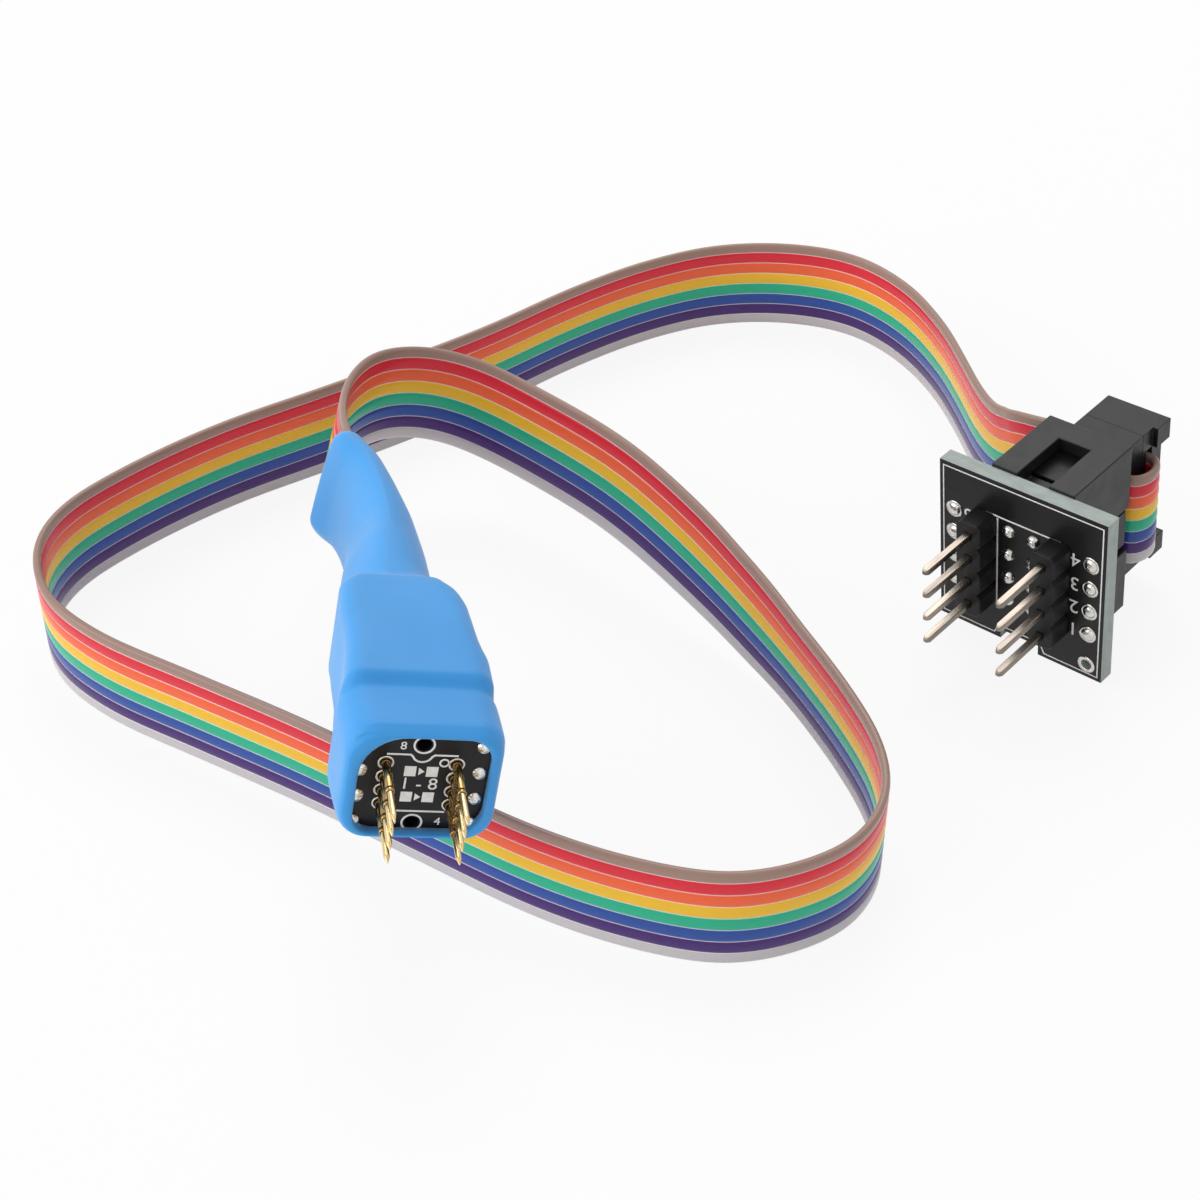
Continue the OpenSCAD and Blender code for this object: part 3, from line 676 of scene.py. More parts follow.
@dataclass(frozen=True)
class Finish:
    """A surface with random patches in its colour and gloss and a fine grain in its height.

    patch, grain, grain_depth and light_reach are millimetres, and colour_shift is a share of the colour. The
    share of white mixed in near the grooves between wires is a painted highlight.
    """

    name: str
    colour: Colour
    roughness: float
    metallic: float = 0.0
    specular: float = 0.5
    colour_shift: float = 0.06
    gloss_shift: float = 0.06
    patch: float = 4.0
    grain: float = 0.12
    grain_depth: float = 0.004
    stretch: Point = (1.0, 1.0, 1.0)
    along: Placement = SHARED
    on_uv: bool = False
    sheen: float = 0.0
    subsurface: float = 0.0
    light_reach: float = 0.6
    pale_seam: float = 0.0
    gloss_patch: float = 0.6
    grain_strength: float = 0.6

    def material(self) -> bpy.types.Material:
        """Gives the finish as a material, building it at its first use.

        Returns:
            The material.
        """
        return bpy.data.materials.get(self.name) or self._build()

    def _build(self) -> bpy.types.Material:
        """Builds the node tree.

        Returns:
            The new material.
        """
        material = bpy.data.materials.new(self.name)
        material.use_nodes = True
        material.node_tree.nodes.clear()
        sheet = NodeSheet(material.node_tree)
        vector = self._coordinates(sheet)
        colour = self._colour(sheet, vector)
        low, high = self.roughness - self.gloss_shift, self.roughness + self.gloss_shift
        gloss = self._patches(sheet, vector, self.patch * self.gloss_patch, low, high)
        fine = self._patches(sheet, vector, self.grain, 0.0, 1.0)
        bump = sheet.add(
            "ShaderNodeBump",
            {"Strength": self.grain_strength, "Distance": self.grain_depth * MM, "Height": fine},
        )
        shader = sheet.add(
            "ShaderNodeBsdfPrincipled",
            {
                "Base Color": colour,
                "Roughness": gloss,
                "Normal": bump.outputs[0],
                "Metallic": self.metallic,
                "Specular IOR Level": self.specular,
                "Sheen Weight": self.sheen,
                "Subsurface Weight": self.subsurface,
                "Subsurface Radius": (1.0, 1.0, 1.0),
                "Subsurface Scale": self.light_reach * MM,
            },
        )
        sheet.add("ShaderNodeOutputMaterial", {"Surface": shader.outputs[0]})
        return material

    def _coordinates(self, sheet: NodeSheet) -> bpy.types.NodeSocket:
        """Adds the coordinates that the patterns use, in metres along the piece's own axes.

        Args:
            sheet: The material's tree.

        Returns:
            The socket of the coordinates.
        """
        source = sheet.add("ShaderNodeTexCoord")
        if self.on_uv:
            return source.outputs["UV"]
        inputs = {
            "Vector": source.outputs["Object"], "Rotation": self.along.rotation().inverted().to_euler(),
        }
        return sheet.add("ShaderNodeMapping", inputs).outputs[0]

    def _patches(
        self, sheet: NodeSheet, vector: bpy.types.NodeSocket, size: float, low: float, high: float
    ) -> bpy.types.NodeSocket:
        """Adds random patches.

        Args:
            sheet: The material's tree.
            vector: The coordinates.
            size: The patches' size, millimetres.
            low: The value of the lowest patches.
            high: The value of the highest patches.

        Returns:
            The socket of the patches' value.
        """
        inputs = {
            "Vector": vector, "Stretch": self.stretch, "Scale": 1.0 / (size * MM), "Low": low, "High": high,
        }
        return sheet.add("ShaderNodeGroup", inputs, node_tree=Grain.patches()).outputs["Value"]

    def _colour(self, sheet: NodeSheet, vector: bpy.types.NodeSocket) -> bpy.types.NodeSocket:
        """Adds the colour, a little darker in some patches than in others, and whitened near a wire's grooves
        as a painted highlight.

        Args:
            sheet: The material's tree.
            vector: The coordinates.

        Returns:
            The socket of the colour.
        """
        share = self._patches(sheet, vector, self.patch, 0.0, 1.0)
        dark, light = (linear(scaled(self.colour, 1 + way * self.colour_shift)) for way in (-1, 1))
        mix = sheet.add("ShaderNodeMix", {0: share, 6: dark, 7: light}, data_type="RGBA")
        if not self.pale_seam:
            return mix.outputs[2]
        # Painted highlight: white mixed in near the grooves between wires, where light catches each wire's
        # edge.
        near = sheet.add("ShaderNodeAttribute", attribute_name=HIGHLIGHT_SEAM)
        part = sheet.add("ShaderNodeMath", {0: near.outputs["Fac"], 1: self.pale_seam}, operation="MULTIPLY")
        pale = {0: part.outputs[0], 6: mix.outputs[2], 7: WHITE}
        return sheet.add("ShaderNodeMix", pale, data_type="RGBA").outputs[2]


SILICONE = Finish(
    "soft_blue_silicone", (63, 163, 239), 0.52, specular=0.35, colour_shift=0.02, patch=9.0,
    grain=0.18, grain_depth=0.003, sheen=0.3, subsurface=0.1,
)
SOLDER_MASK = Finish(
    "black_solder_mask", (24, 24, 26), 0.34, specular=0.25, colour_shift=0.08, patch=3.0, grain=0.25,
)
LAMINATE = Finish(
    "glass_laminate_edge", (160, 170, 165), 0.55, colour_shift=0.05, patch=1.4, grain=0.1,
    stretch=(1.0, 2.0, 1.0), along=ADAPTER,
)
MOULDED = Finish(
    "black_moulding", (32, 32, 34), 0.36, specular=0.25, colour_shift=0.08, patch=2.5, grain=0.09,
    grain_depth=0.005,
)
STRIP_MOULDING = Finish(
    "strip_moulding", (24, 24, 26), 0.45, specular=0.25, colour_shift=0.08, patch=1.2, grain=0.08,
)
TINNED = Finish(
    "tinned_metal", (134, 125, 116), 0.26, metallic=1.0, colour_shift=0.14, patch=0.7, grain=0.05,
    grain_depth=0.003, stretch=(1.0, 0.12, 1.0), along=ADAPTER,
)
SOLDER = Finish(
    "bright_solder", (206, 204, 199), 0.2, metallic=1.0, colour_shift=0.08, patch=0.35, grain=0.22,
    grain_depth=0.02,
)
GOLD = Finish(
    "gold_plating", (226, 200, 146), 0.16, metallic=1.0, colour_shift=0.05, patch=0.8, grain=0.05,
    grain_depth=0.002, stretch=(1.0, 0.15, 1.0), along=GRIP,
)
# A darker copy of the gold plating: painted shade, standing in for the dark reflections on the barrels.
SHADED_BARREL_GOLD = Finish(
    "barrel_gold", (172, 140, 90), 0.18, metallic=1.0, colour_shift=0.08, patch=0.9, grain=0.05,
    grain_depth=0.002, stretch=(1.0, 0.15, 1.0), along=GRIP,
)
STEEL = Finish("spring_wire", (190, 190, 195), 0.3, metallic=1.0, patch=0.5, grain=0.03, grain_depth=0.001)
CONTACT = Finish("contact_strip", (214, 186, 116), 0.28, metallic=1.0, patch=0.8, grain=0.06)
INK = Finish("white_marking_ink", (250, 250, 247), 0.55, colour_shift=0.04, patch=0.4, grain=0.06)
PALE_FLOOR = Finish(
    "pale_floor", (255, 255, 255), 0.9, specular=0.0, colour_shift=0.002, patch=60.0, grain_depth=0.0,
)


class Wire(Enum):
    """The wires of the ribbon from its upper edge, each with its colour."""

    BROWN = (165, 134, 121)
    RED = (228, 42, 58)
    ORANGE = (252, 104, 60)
    YELLOW = (250, 196, 48)
    GREEN = (36, 184, 142)
    BLUE = (42, 80, 164)
    PURPLE = (72, 38, 116)
    GREY = (210, 205, 208)

    @property
    def node(self) -> str:
        """Gives the name of the wire's node and slot."""
        return f"wire_{self.name.lower()}"

    def finish(self) -> Finish:
        """Gives the wire's insulation, with a painted highlight of white along its grooves."""
        # The insulation's colour is whitened near its grooves: a painted highlight.
        return Finish(
            f"insulation_{self.name.lower()}", self.value, 0.28, specular=0.32, colour_shift=0.03,
            gloss_shift=0.05, patch=6.0, grain=0.3, grain_depth=0.004, stretch=(1.0, 0.06, 1.0), on_uv=True,
            pale_seam=0.95,
        )


def dress(piece: bpy.types.Object, body: str, slot: str, *nodes: str, finish: Finish | None = None) -> None:
    """Gives a finished piece its body and its material, and hides the nodes that it stands for.

    Args:
        piece: The piece.
        body: The body that carries it.
        slot: Not used.
        nodes: The nodes that it replaces.
        finish: Its finish, where its mesh has none yet.
    """
    if finish is not None:
        piece.data.materials.clear()
        piece.data.materials.append(finish.material())
    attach(piece, body)
    if nodes:
        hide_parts(*nodes)
    log.info("%s: %d faces on %s", piece.name, len(piece.data.polygons), body)


def paint_node(node: str, finish: Finish) -> None:
    """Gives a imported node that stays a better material.

    Args:
        node: The node.
        finish: Its finish.
    """
    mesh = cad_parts[node].data
    mesh.materials.clear()
    mesh.materials.append(finish.material())
    log.info("%s keeps its solid, in %s", node, finish.name)


def hermite(t: float) -> tuple[float, float, float, float]:
    """Gives the shares of two knots and of the slopes at them, a part t of the way between."""
    return 2 * t**3 - 3 * t**2 + 1, 3 * t**2 - 2 * t**3, t**3 - 2 * t**2 + t, t**3 - t**2


def smooth_between(knots: Sequence[float], values: Sequence[float], at: float) -> float:
    """Reads a smooth curve through values that never swings past them.

    Args:
        knots: Rising places.
        values: The value at each place.
        at: The place to read.

    Returns:
        The value there.
    """
    steps = [b - a for a, b in pairwise(knots)]
    slopes = [(b - a) / step for (a, b), step in zip(pairwise(values), steps)]
    last = len(knots) - 1
    index = next((i for i in range(last) if at <= knots[i + 1]), last - 1)

    def tangent(i: int) -> float:
        """Gives the curve's slope at a knot."""
        if i in (0, last):
            return slopes[0 if i == 0 else last - 1]
        before, after = slopes[i - 1], slopes[i]
        return 0.0 if before * after <= 0 else 2 * before * after / (before + after)

    step = steps[index]
    t = min(max((at - knots[index]) / step, 0.0), 1.0)
    first, second, leave, reach = hermite(t)
    rise = first * values[index] + second * values[index + 1]
    return rise + step * (leave * tangent(index) + reach * tangent(index + 1))


@dataclass(frozen=True)
class Section:
    """One cross section of the sleeve: its sides, corners, shift, twist, backward lean and flank curve.

    The upper left corner can be taller than wide.
    """

    CORNER_SLACK = 0.05
    LEAST_CORNER = 0.1
    y: float
    left: float
    right: float
    top: float
    under: float
    corners: tuple[float, float, float, float]
    shift: float = 0.0
    twist: float = 0.0
    lean: float = 0.0
    bulge: float = 0.0
    tall: float = 1.0

    def sizes(self) -> tuple[float, ...]:
        """Gives every size but the place, in the order of the fields."""
        bent = (self.shift, self.twist, self.lean, self.bulge, self.tall)
        return (self.left, self.right, self.top, self.under, *self.corners, *bent)

    def ring(self, arc_steps: int, side_steps: int) -> list[Point]:
        """Gives the section's points in order, from the lower end of its upper right corner.

        Args:
            arc_steps: The steps round each corner.
            side_steps: The steps along each side.

        Returns:
            The points in the grip's frame.
        """
        mid = (self.top - self.under) / 2
        half = (self.top + self.under) / 2
        most = min(half - self.CORNER_SLACK, (self.left + self.right) / 2 - self.CORNER_SLACK)
        spots = ((self.right, half), (-self.left, half), (-self.left, -half), (self.right, -half))
        flat: list[Flat] = []
        for quarter, ((x, z), corner) in enumerate(zip(spots, self.corners)):
            radius = min(corner, most)
            high = radius * self.tall if quarter == 1 else radius
            cx, cz = x - math.copysign(radius, x), z - math.copysign(high, z)
            for step in range(arc_steps + 1):
                angle = math.radians(90 * (quarter + step / arc_steps))
                flat.append((cx + radius * math.cos(angle), cz + high * math.sin(angle)))
        even: list[Flat] = []
        for i, here in enumerate(flat):
            even.append(here)
            if i % (arc_steps + 1) == arc_steps:
                there = flat[(i + 1) % len(flat)]
                for step in range(1, side_steps):
                    t = step / side_steps
                    even.append((here[0] * (1 - t) + there[0] * t, here[1] * (1 - t) + there[1] * t))
        even = [(x * (1 - self.bulge * (z / half) ** 2), z) for x, z in even]
        cos, sin = math.cos(math.radians(self.twist)), math.sin(math.radians(self.twist))
        return [
            (x * cos + z * sin + self.shift, self.y + self.lean * z / half, z * cos - x * sin + mid)
            for x, z in even
        ]

    def inset(self, depth: float) -> "Section":
        """Gives the section drawn in on all sides by a depth.

        Args:
            depth: The depth.

        Returns:
            The smaller section.
        """
        corners = tuple(max(corner - depth, self.LEAST_CORNER) for corner in self.corners)
        return replace(
            self, left=self.left - depth, right=self.right - depth, top=self.top - depth,
            under=self.under - depth, corners=corners,
        )


@dataclass
class GripSleeve:
    """The soft cover: a lipped mouth, a stepped shoulder and a flat, bent and twisted tail.

    A row of lip holds a place, how far the window is widened there and the share of the front's lean.
    """

    mouth_half: float = 5.95
    mouth_rise: float = 5.14
    mouth_shift: float = 0.15
    shoulder_half: float = 4.85
    shoulder_top: float = 5.95
    belly: float = 5.9
    block_len: float = 5.0
    shoulder_len: float = 18.8
    tail_len: float = 42.3
    neck_half: float = 3.35
    tail_half: float = 1.35
    tail_top: float = 5.3
    tail_bend: float = 3.0
    tail_twist: float = 4.5
    flank: float = 0.32
    wall: float = 0.45
    front: float = -0.62
    front_lean: float = 0.28
    step: float = 0.25
    lip_step: float = 0.08
    lip_steps: int = 25
    arc_steps: int = 9
    side_steps: int = 8
    pocket: Section = Section(0.0, 5.35, 5.35, 4.65, 4.65, (1.65,) * 4)
    window: Section = Section(0.0, 4.55, 5.05, 4.38, 4.15, (1.9, 3.4, 1.6, 2.3))
    end_gaps: tuple[float, ...] = (0.12, 0.05, 0.0)
    rim: float = 0.1
    inner_places: tuple[float, ...] = (41.2, 36.0, 30.0, 24.0, 19.8, 18.4, 16.0, 11.0)
    pocket_span: Flat = (1.25, 0.0)
    lip: tuple[tuple[float, float, float], ...] = (
        (-0.01, 0.0, 0.0), (-0.34, 0.0, 0.5), (-0.5, 0.02, 0.8), (-0.59, 0.07, 0.95), (-0.62, 0.13, 1.0),
    )

    def stations(self) -> list[Section]:
        """Gives the sections that drive the sleeve, from the lip to the tail's end."""
        return self._mouth() + self._shoulder() + self._tail()

    def _mouth(self) -> list[Section]:
        """Gives the driving sections from the lip to the step behind the mouth.

        Returns:
            The sections. A row of the table holds the place, the left and right half widths, the top, the
            underside, the upper right, upper left and lower corners, and the share of the front's lean.
        """
        m, h, b, f = self.mouth_half, self.mouth_rise, self.block_len, self.front
        rise, belly = self.shoulder_top, self.belly
        rows = (
            (f, m - 0.5, m - 0.5, h - 0.6, h - 0.78, 2.0, 2.4, 2.0, 1),
            (f + 0.22, m - 0.27, m - 0.27, h - 0.44, h - 0.6, 2.1, 2.5, 2.1, 0.95),
            (0.0, m - 0.12, m - 0.12, h - 0.25, h - 0.45, 2.1, 2.5, 2.2, 0.7),
            (0.6, m - 0.03, m - 0.03, h - 0.04, h - 0.3, 2.1, 2.5, 2.3, 0.3),
            (1.2, m + 0.03, m + 0.04, h, h - 0.18, 2.1, 2.4, 2.4, 0),
            (b - 0.6, m + 0.24, m - 0.08, h - 0.03, h + 0.15, 2.0, 2.2, 2.8, 0),
            (b - 0.08, m + 0.16, m - 0.26, h + 0.01, belly - 0.2, 1.9, 2.1, 3.0, 0),
            (b + 0.4, m, m - 0.36, h + 0.44, belly, 1.8, 1.9, 2.9, 0),
            (b + 0.8, m - 0.16, m - 0.35, rise - 0.06, belly, 1.7, 1.7, 2.8, 0),
            (b + 1.1, m - 0.26, m - 0.33, rise, belly, 1.7, 1.5, 2.7, 0),
        )
        return [
            Section(*sides, (right, left, low, low), self.mouth_shift, lean=self.front_lean * lean)
            for *sides, right, left, low, lean in rows
        ]

    def _shoulder(self) -> list[Section]:
        """Gives the driving sections of the shoulder.

        Returns:
            The sections. A row is like the mouth's, with the share of the mouth's shift at its end.
        """
        m, s, length = self.mouth_half, self.shoulder_half, self.shoulder_len
        rise, belly = self.shoulder_top, self.belly
        rows = (
            (length * 0.45, (m + s) / 2, (m + s) / 2 + 0.22, rise, belly, 1.7, 1.3, 2.4, 1),
            (length * 0.55, s + 0.38, s + 0.5, rise, belly, 1.7, 1.25, 2.7, 0.8),
            (length * 0.62, s + 0.34, s + 0.36, rise, belly, 1.7, 1.25, 4.2, 0.6),
            (length * 0.82, s + 0.27, s + 0.2, rise, belly, 1.8, 1.2, 4.2, 0),
            (length - 1.4, s + 0.2, s - 0.22, rise - 0.04, belly, 1.9, 1.2, 3.6, 0),
            (length - 0.3, s - 0.35, s - 0.86, rise - 0.14, belly, 2.0, 1.3, 3.0, 0),
        )
        return [
            Section(*sides, (right, left, low, low), self.mouth_shift * shift)
            for *sides, right, left, low, shift in rows
        ]

    def _tail(self) -> list[Section]:
        """Gives the driving sections of the tail.

        Returns:
            The sections. A row is like the mouth's, with the shares of the tail's bend and twist and of the
            flank's curve at its end, and the height of the upper left corner.
        """
        n, t, root, end = self.neck_half, self.tail_half, self.shoulder_len, self.tail_len
        top, belly, span, more = self.tail_top, self.belly, end - root, n - t
        foot = (self.shoulder_half + n) / 2
        rows = (
            (root + 0.35, foot - 0.35, foot - 0.2, top + 0.14, belly, 2.4, 2.2, 2.7, 0, 0, 0, 1.3),
            (root + 1, n + 0.5, n + 0.3, top + 0.02, belly, 3.2, 3.0, 2.5, 0.03, 0, 0.15, 1.6),
            (root + span * 0.12, n + 0.45, n + 0.1, top, belly - 0.15, 3.4, 3.2, 2.4, 0.06, 0, 0.3, 1.8),
            (root + span * 0.28, n + 0.15, n + 0.12, top, belly - 0.5, 3.3, 3.2, 3.0, 0.09, 0.1, 0.7, 1.95),
            (
                root + span * 0.48, t + more * 0.58, t + more * 0.9, top, belly - 0.62,
                3.0, 3.0, 2.8, 0.14, 0.28, 1, 2.1,
            ),
            (
                root + span * 0.66, t + more * 0.36, t + more * 0.6, top, belly - 0.62,
                2.6, 2.6, 2.3, 0.29, 0.6, 0.9, 2.1,
            ),
            (
                root + span * 0.82, t + more * 0.26, t + more * 0.28, top - 0.05, belly - 0.5,
                2.0, 2.2, 1.8, 0.5, 1, 0.7, 1.8,
            ),
            (end - 1.1, t + 0.12, t + 0.12, top - 0.25, belly - 0.12, 1.5, 1.7, 1.4, 0.91, 1.6, 0.4, 1),
            (end - 0.5, t + 0.08, t + 0.1, top - 0.42, belly - 0.17, 1.45, 1.6, 1.3, 0.965, 1.65, 0.35, 1),
            (end - 0.15, t - 0.04, t + 0.02, top - 0.62, belly - 0.3, 1.3, 1.5, 1.15, 0.99, 1.65, 0.35, 1),
            (end, t - 0.28, t - 0.18, top - 0.85, belly - 0.5, 1.0, 1.2, 0.95, 1, 1.65, 0.35, 1),
        )
        return [
            Section(
                *sides, (right, left, low, low), -self.tail_bend * bend, self.tail_twist * twist,
                bulge=self.flank * curve, tall=tall,
            )
            for *sides, right, left, low, bend, twist, curve, tall in rows
        ]

    def section_at(self, y: float) -> Section:
        """Gives the outer section at any place along the sleeve.

        Args:
            y: The distance behind the tip board's front.

        Returns:
            The section.
        """
        stations = self.stations()
        places = [station.y for station in stations]
        columns = zip(*(station.sizes() for station in stations))
        left, right, top, under, *rest = [smooth_between(places, column, y) for column in columns]
        return Section(y, left, right, top, under, tuple(rest[:4]), *rest[4:])

    def sections(self) -> list[Section]:
        """Gives every section of the skin.

        Returns:
            The sections in order, once round the wall from the lip back and inside again.
        """
        places = [self.front + self.lip_step * i for i in range(self.lip_steps)]
        start, rest = places[-1], self.tail_len - places[-1]
        count = round(rest / self.step)
        places += [start + rest * i / count for i in range(1, count)]
        places += [self.tail_len - gap for gap in self.end_gaps]
        outside = [self.section_at(y) for y in places]
        inside = [self.section_at(self.tail_len).inset(self.rim)]
        inside += [self.section_at(y).inset(self.wall) for y in self.inner_places]
        pocket = [replace(self.pocket, y=y) for y in self.pocket_span]
        w = self.window
        lip = [
            replace(
                w, y=y, left=w.left + out, right=w.right + out, top=w.top + out, under=w.under + out,
                lean=self.front_lean * part,
            )
            for y, out, part in self.lip
        ]
        return outside + inside + pocket + lip

    def build(self) -> None:
        """Builds and dresses the sleeve."""
        rings = [section.ring(self.arc_steps, self.side_steps) for section in self.sections()]
        points = [point for ring in rings for point in ring]
        mesh = mesh_of("grip_cover", points, strips(len(rings), len(rings[0]), closed=True))
        mesh.transform(GRIP.matrix())
        dress(link("grip_cover", mesh), HAND_BODY, "grip", "grip_sleeve", finish=SILICONE)


@dataclass
class Ribbon:
    """The flat ribbon of eight wires, from the grip over the desk to the plug.

    A row of desk holds x, y, the lower edge's height over the desk and the lean in degrees. A row of
    plug_lead holds a place across the plug and how far inside the outer layer the ribbon is there.
    """

    pitch: float = 1.27
    thickness: float = 0.68
    lower_edge: float = 0.6
    square: float = 3.0
    seam_at: float = 0.572
    smooth_passes: int = 12
    hold: float = 9.0
    spacing: float = 0.8
    shift: Flat = (-1.36, -0.4)
    desk_gap: float = 0.02
    start: float = 9.6
    tail_knots: tuple[float, ...] = (15.416, 19.8, 25.38, 30.08, 34.31, 38.07, 42.3)
    drop: float = 0.15
    desk: tuple[tuple[float, float, float, float], ...] = (
        (-34.7, 31.0, 9.8, 16), (-34.0, 34.0, 9.5, 13), (-32.8, 36.6, 9.2, 9), (-31.2, 39.0, 8.9, 5),
        (-29.4, 40.7, 8.4, 2), (-27.4, 41.7, 7.9, 1), (-25.4, 42.1, 7.3, -2), (-23.5, 42.0, 6.8, -5),
        (-21.6, 41.5, 6.2, -7), (-19.4, 40.4, 5.5, -10), (-16.8, 38.4, 4.8, -12), (-9.4, 28.8, 4.2, -12),
        (-4.6, 20.8, 2.9, -10), (-0.4, 12.2, 1.3, -5), (2.6, 4.4, 0.2, 0), (4.6, -3.8, 0, 0),
        (5.4, -11.0, 0, 0), (4.4, -16.4, 0, 0), (1.0, -20.8, 0, 0), (-4.2, -22.8, 0, 0), (-9.6, -23.0, 0, 0),
        (-16.4, -20.2, 0, 0), (-23.0, -15.8, 0, 0), (-31.6, -8.0, 0, 0), (-40.4, 0.2, 0, 0),
        (-48.6, 7.2, 0, 0), (-56.6, 14.2, 0, 0), (-60.8, 20.4, 0, 0), (-61.6, 27.6, 0, 0),
        (-59.4, 32.8, 0, 0), (-54.2, 37.6, 0, 0), (-45.0, 43.6, 0, 0), (-33.6, 48.8, 0, 0),
        (-18.2, 56.4, 0, 0), (-7.4, 63.0, 0, 0), (1.0, 67.0, 0, 0), (9.2, 69.0, 0, 0),
        (17.0, 68.0, 0, 0), (23.2, 64.6, 0, 0), (27.0, 58.4, 0, 1), (28.6, 50.0, 0.3, 3),
        (28.6, 41.8, 0.8, 4), (28.2, 35.2, 1.5, 4), (28.4, 29.6, 2.6, 4),
    )
    plug_half: float = 3.0
    plug_lead: tuple[Flat, ...] = ((-8.6, 0.9), (-5.2, 0.2), (-2.4, 0.0))
    plug_gap: float = 0.3
    layers: Flat = (11.55, 15.45)
    fold_reach: float = 1.6
    wire_gap: float = 0.002
    groove: float = 0.07
    face_steps: tuple[float, ...] = (0.12, 0.24, 0.36, 0.45, 0.52)
    seam_end: float = 0.59
    exit_depth: float = 3.5
    girth: float = 4.0
    sharp: float = 60.0

    @property
    def width(self) -> float:
        """Gives the ribbon's width."""
        return self.pitch * len(Wire)

    def _in_sleeve(self, sleeve: GripSleeve) -> list[Knot]:
        """Gives the route inside the sleeve.

        Args:
            sleeve: The sleeve.

        Returns:
            Places, and directions of the ribbon's upper edge.
        """
        route = []
        for y in (self.start, *self.tail_knots):
            section = sleeve.section_at(y)
            twist = math.radians(section.twist)
            place = GRIP.point((section.shift, y, -self.drop))
            route.append((place, GRIP.direction((math.sin(twist), 0.0, math.cos(twist)))))
        return route

    def _on_desk(self) -> list[Knot]:
        """Gives the route over the desk.

        Returns:
            Places, and directions of the ribbon's upper edge.
        """
        base = (self.width - self.pitch) / 2 + self.lower_edge + self.desk_gap
        across, along = self.shift
        places = [Vector((x + across, y + along, base + lift)) for x, y, lift, _ in self.desk]
        last = len(places) - 1
        route = []
        for i, (*_, lean) in enumerate(self.desk):
            way = places[min(i + 1, last)] - places[max(i - 1, 0)]
            side = way.cross(Vector((0, 0, 1))).normalized()
            angle = math.radians(lean)
            route.append((places[i], side * math.sin(angle) + Vector((0, 0, math.cos(angle)))))
        return route

    def _in_plug(self) -> list[Knot]:
        """Gives the route into the plug and round its fold.

        Returns:
            Places, and directions of the ribbon's upper edge.
        """
        up = ADAPTER.direction((0, 0, 1))
        near, far = self.layers
        half = (far - near) / 2
        fold = [
            (self.plug_half + self.fold_reach * math.cos(angle), near + half * (1 + math.sin(angle)))
            for angle in (math.radians(a) for a in range(60, -61, -30))
        ]
        lead = [(u, far - inside) for u, inside in self.plug_lead]
        end = [(self.plug_half, near), (self.plug_gap - self.plug_half, near)]
        run = [*lead, (self.plug_half, far), *fold, *end]
        return [(ADAPTER.point((u, v, 0.0)), up) for u, v in run]

    def _samples(self, knots: list[Knot]) -> list[Knot]:
        """Gives close places on a smooth curve through the knots.

        Args:
            knots: The route's places and the directions of the upper edge.

        Returns:
            Places and directions, a short step apart.
        """
        middle = [place for place, _ in knots]
        places = [2 * middle[0] - middle[1], *middle, 2 * middle[-1] - middle[-2]]

        def slope(i: int) -> Vector:
            """Gives the route's direction at a knot."""
            a, b, c = places[i - 1], places[i], places[i + 1]
            d, e = math.sqrt((b - a).length), math.sqrt((c - b).length)
            return (b - a) / d - (c - a) / (d + e) + (c - b) / e

        samples = []
        for i in range(1, len(knots)):
            a, b = places[i], places[i + 1]
            reach = math.sqrt((b - a).length)
            steps = max(2, math.ceil((b - a).length / self.spacing))
            for step in range(steps):
                first, second, leave, arrive = hermite(step / steps)
                place = first * a + second * b
                place += reach * (leave * slope(i) + arrive * slope(i + 1))
                samples.append((place, knots[i - 1][1].lerp(knots[i][1], second)))
        return [*samples, knots[-1]]

    def frames(self, sleeve: GripSleeve) -> list[tuple[Vector, Vector, Vector]]:
        """Gives close places along the smooth route.

        Args:
            sleeve: The sleeve that the ribbon leaves.

        Returns:
            The middle, the direction across the thickness and the direction across the width.
        """
        samples = self._samples(self._in_sleeve(sleeve) + self._on_desk() + self._in_plug())
        end = samples[-1][0]
        held = sum(1 for place, _ in samples if (place - end).length > self.hold)
        for _ in range(self.smooth_passes):
            before = list(samples)
            for i in range(1, held):
                three = zip(*before[i - 1:i + 2], strict=True)
                samples[i] = tuple((a + 2 * b + c) / 4 for a, b, c in three)
        result = []
        last = len(samples) - 1
        for i, (place, edge) in enumerate(samples):
            way = (samples[min(i + 1, last)][0] - samples[max(i - 1, 0)][0]).normalized()
            side = way.cross(edge).normalized()
            result.append((place, side, side.cross(way)))
        return result

    def outline(self, above: bool, below: bool) -> list[Flat]:
        """Gives one wire's section: flat in front, with a groove at each neighbour and a round free edge.

        Args:
            above: Whether a wire lies above it.
            below: Whether a wire lies below it.

        Returns:
            The depth and height of each corner, once round.
        """
        radius, half = self.thickness / 2, self.pitch / 2 - self.wire_gap
        reach = half + self.groove
        joined = [
            (radius * (1 - (rise / reach) ** self.square) ** (1 / self.square), rise)
            for rise in (*self.face_steps, self.seam_at, self.seam_end, half)
        ]
        turn = [(radius * math.cos(math.radians(a)), math.sin(math.radians(a))) for a in range(15, 90, 15)]
        upper = joined if above else [(depth, radius * part) for depth, part in turn]
        edge = joined if below else [(depth, self.lower_edge * part) for depth, part in turn]
        lower = [(depth, -rise) for depth, rise in reversed(edge)]
        side = [*lower, (radius, 0.0), *upper]
        return side + [(-depth, rise) for depth, rise in reversed(side)]

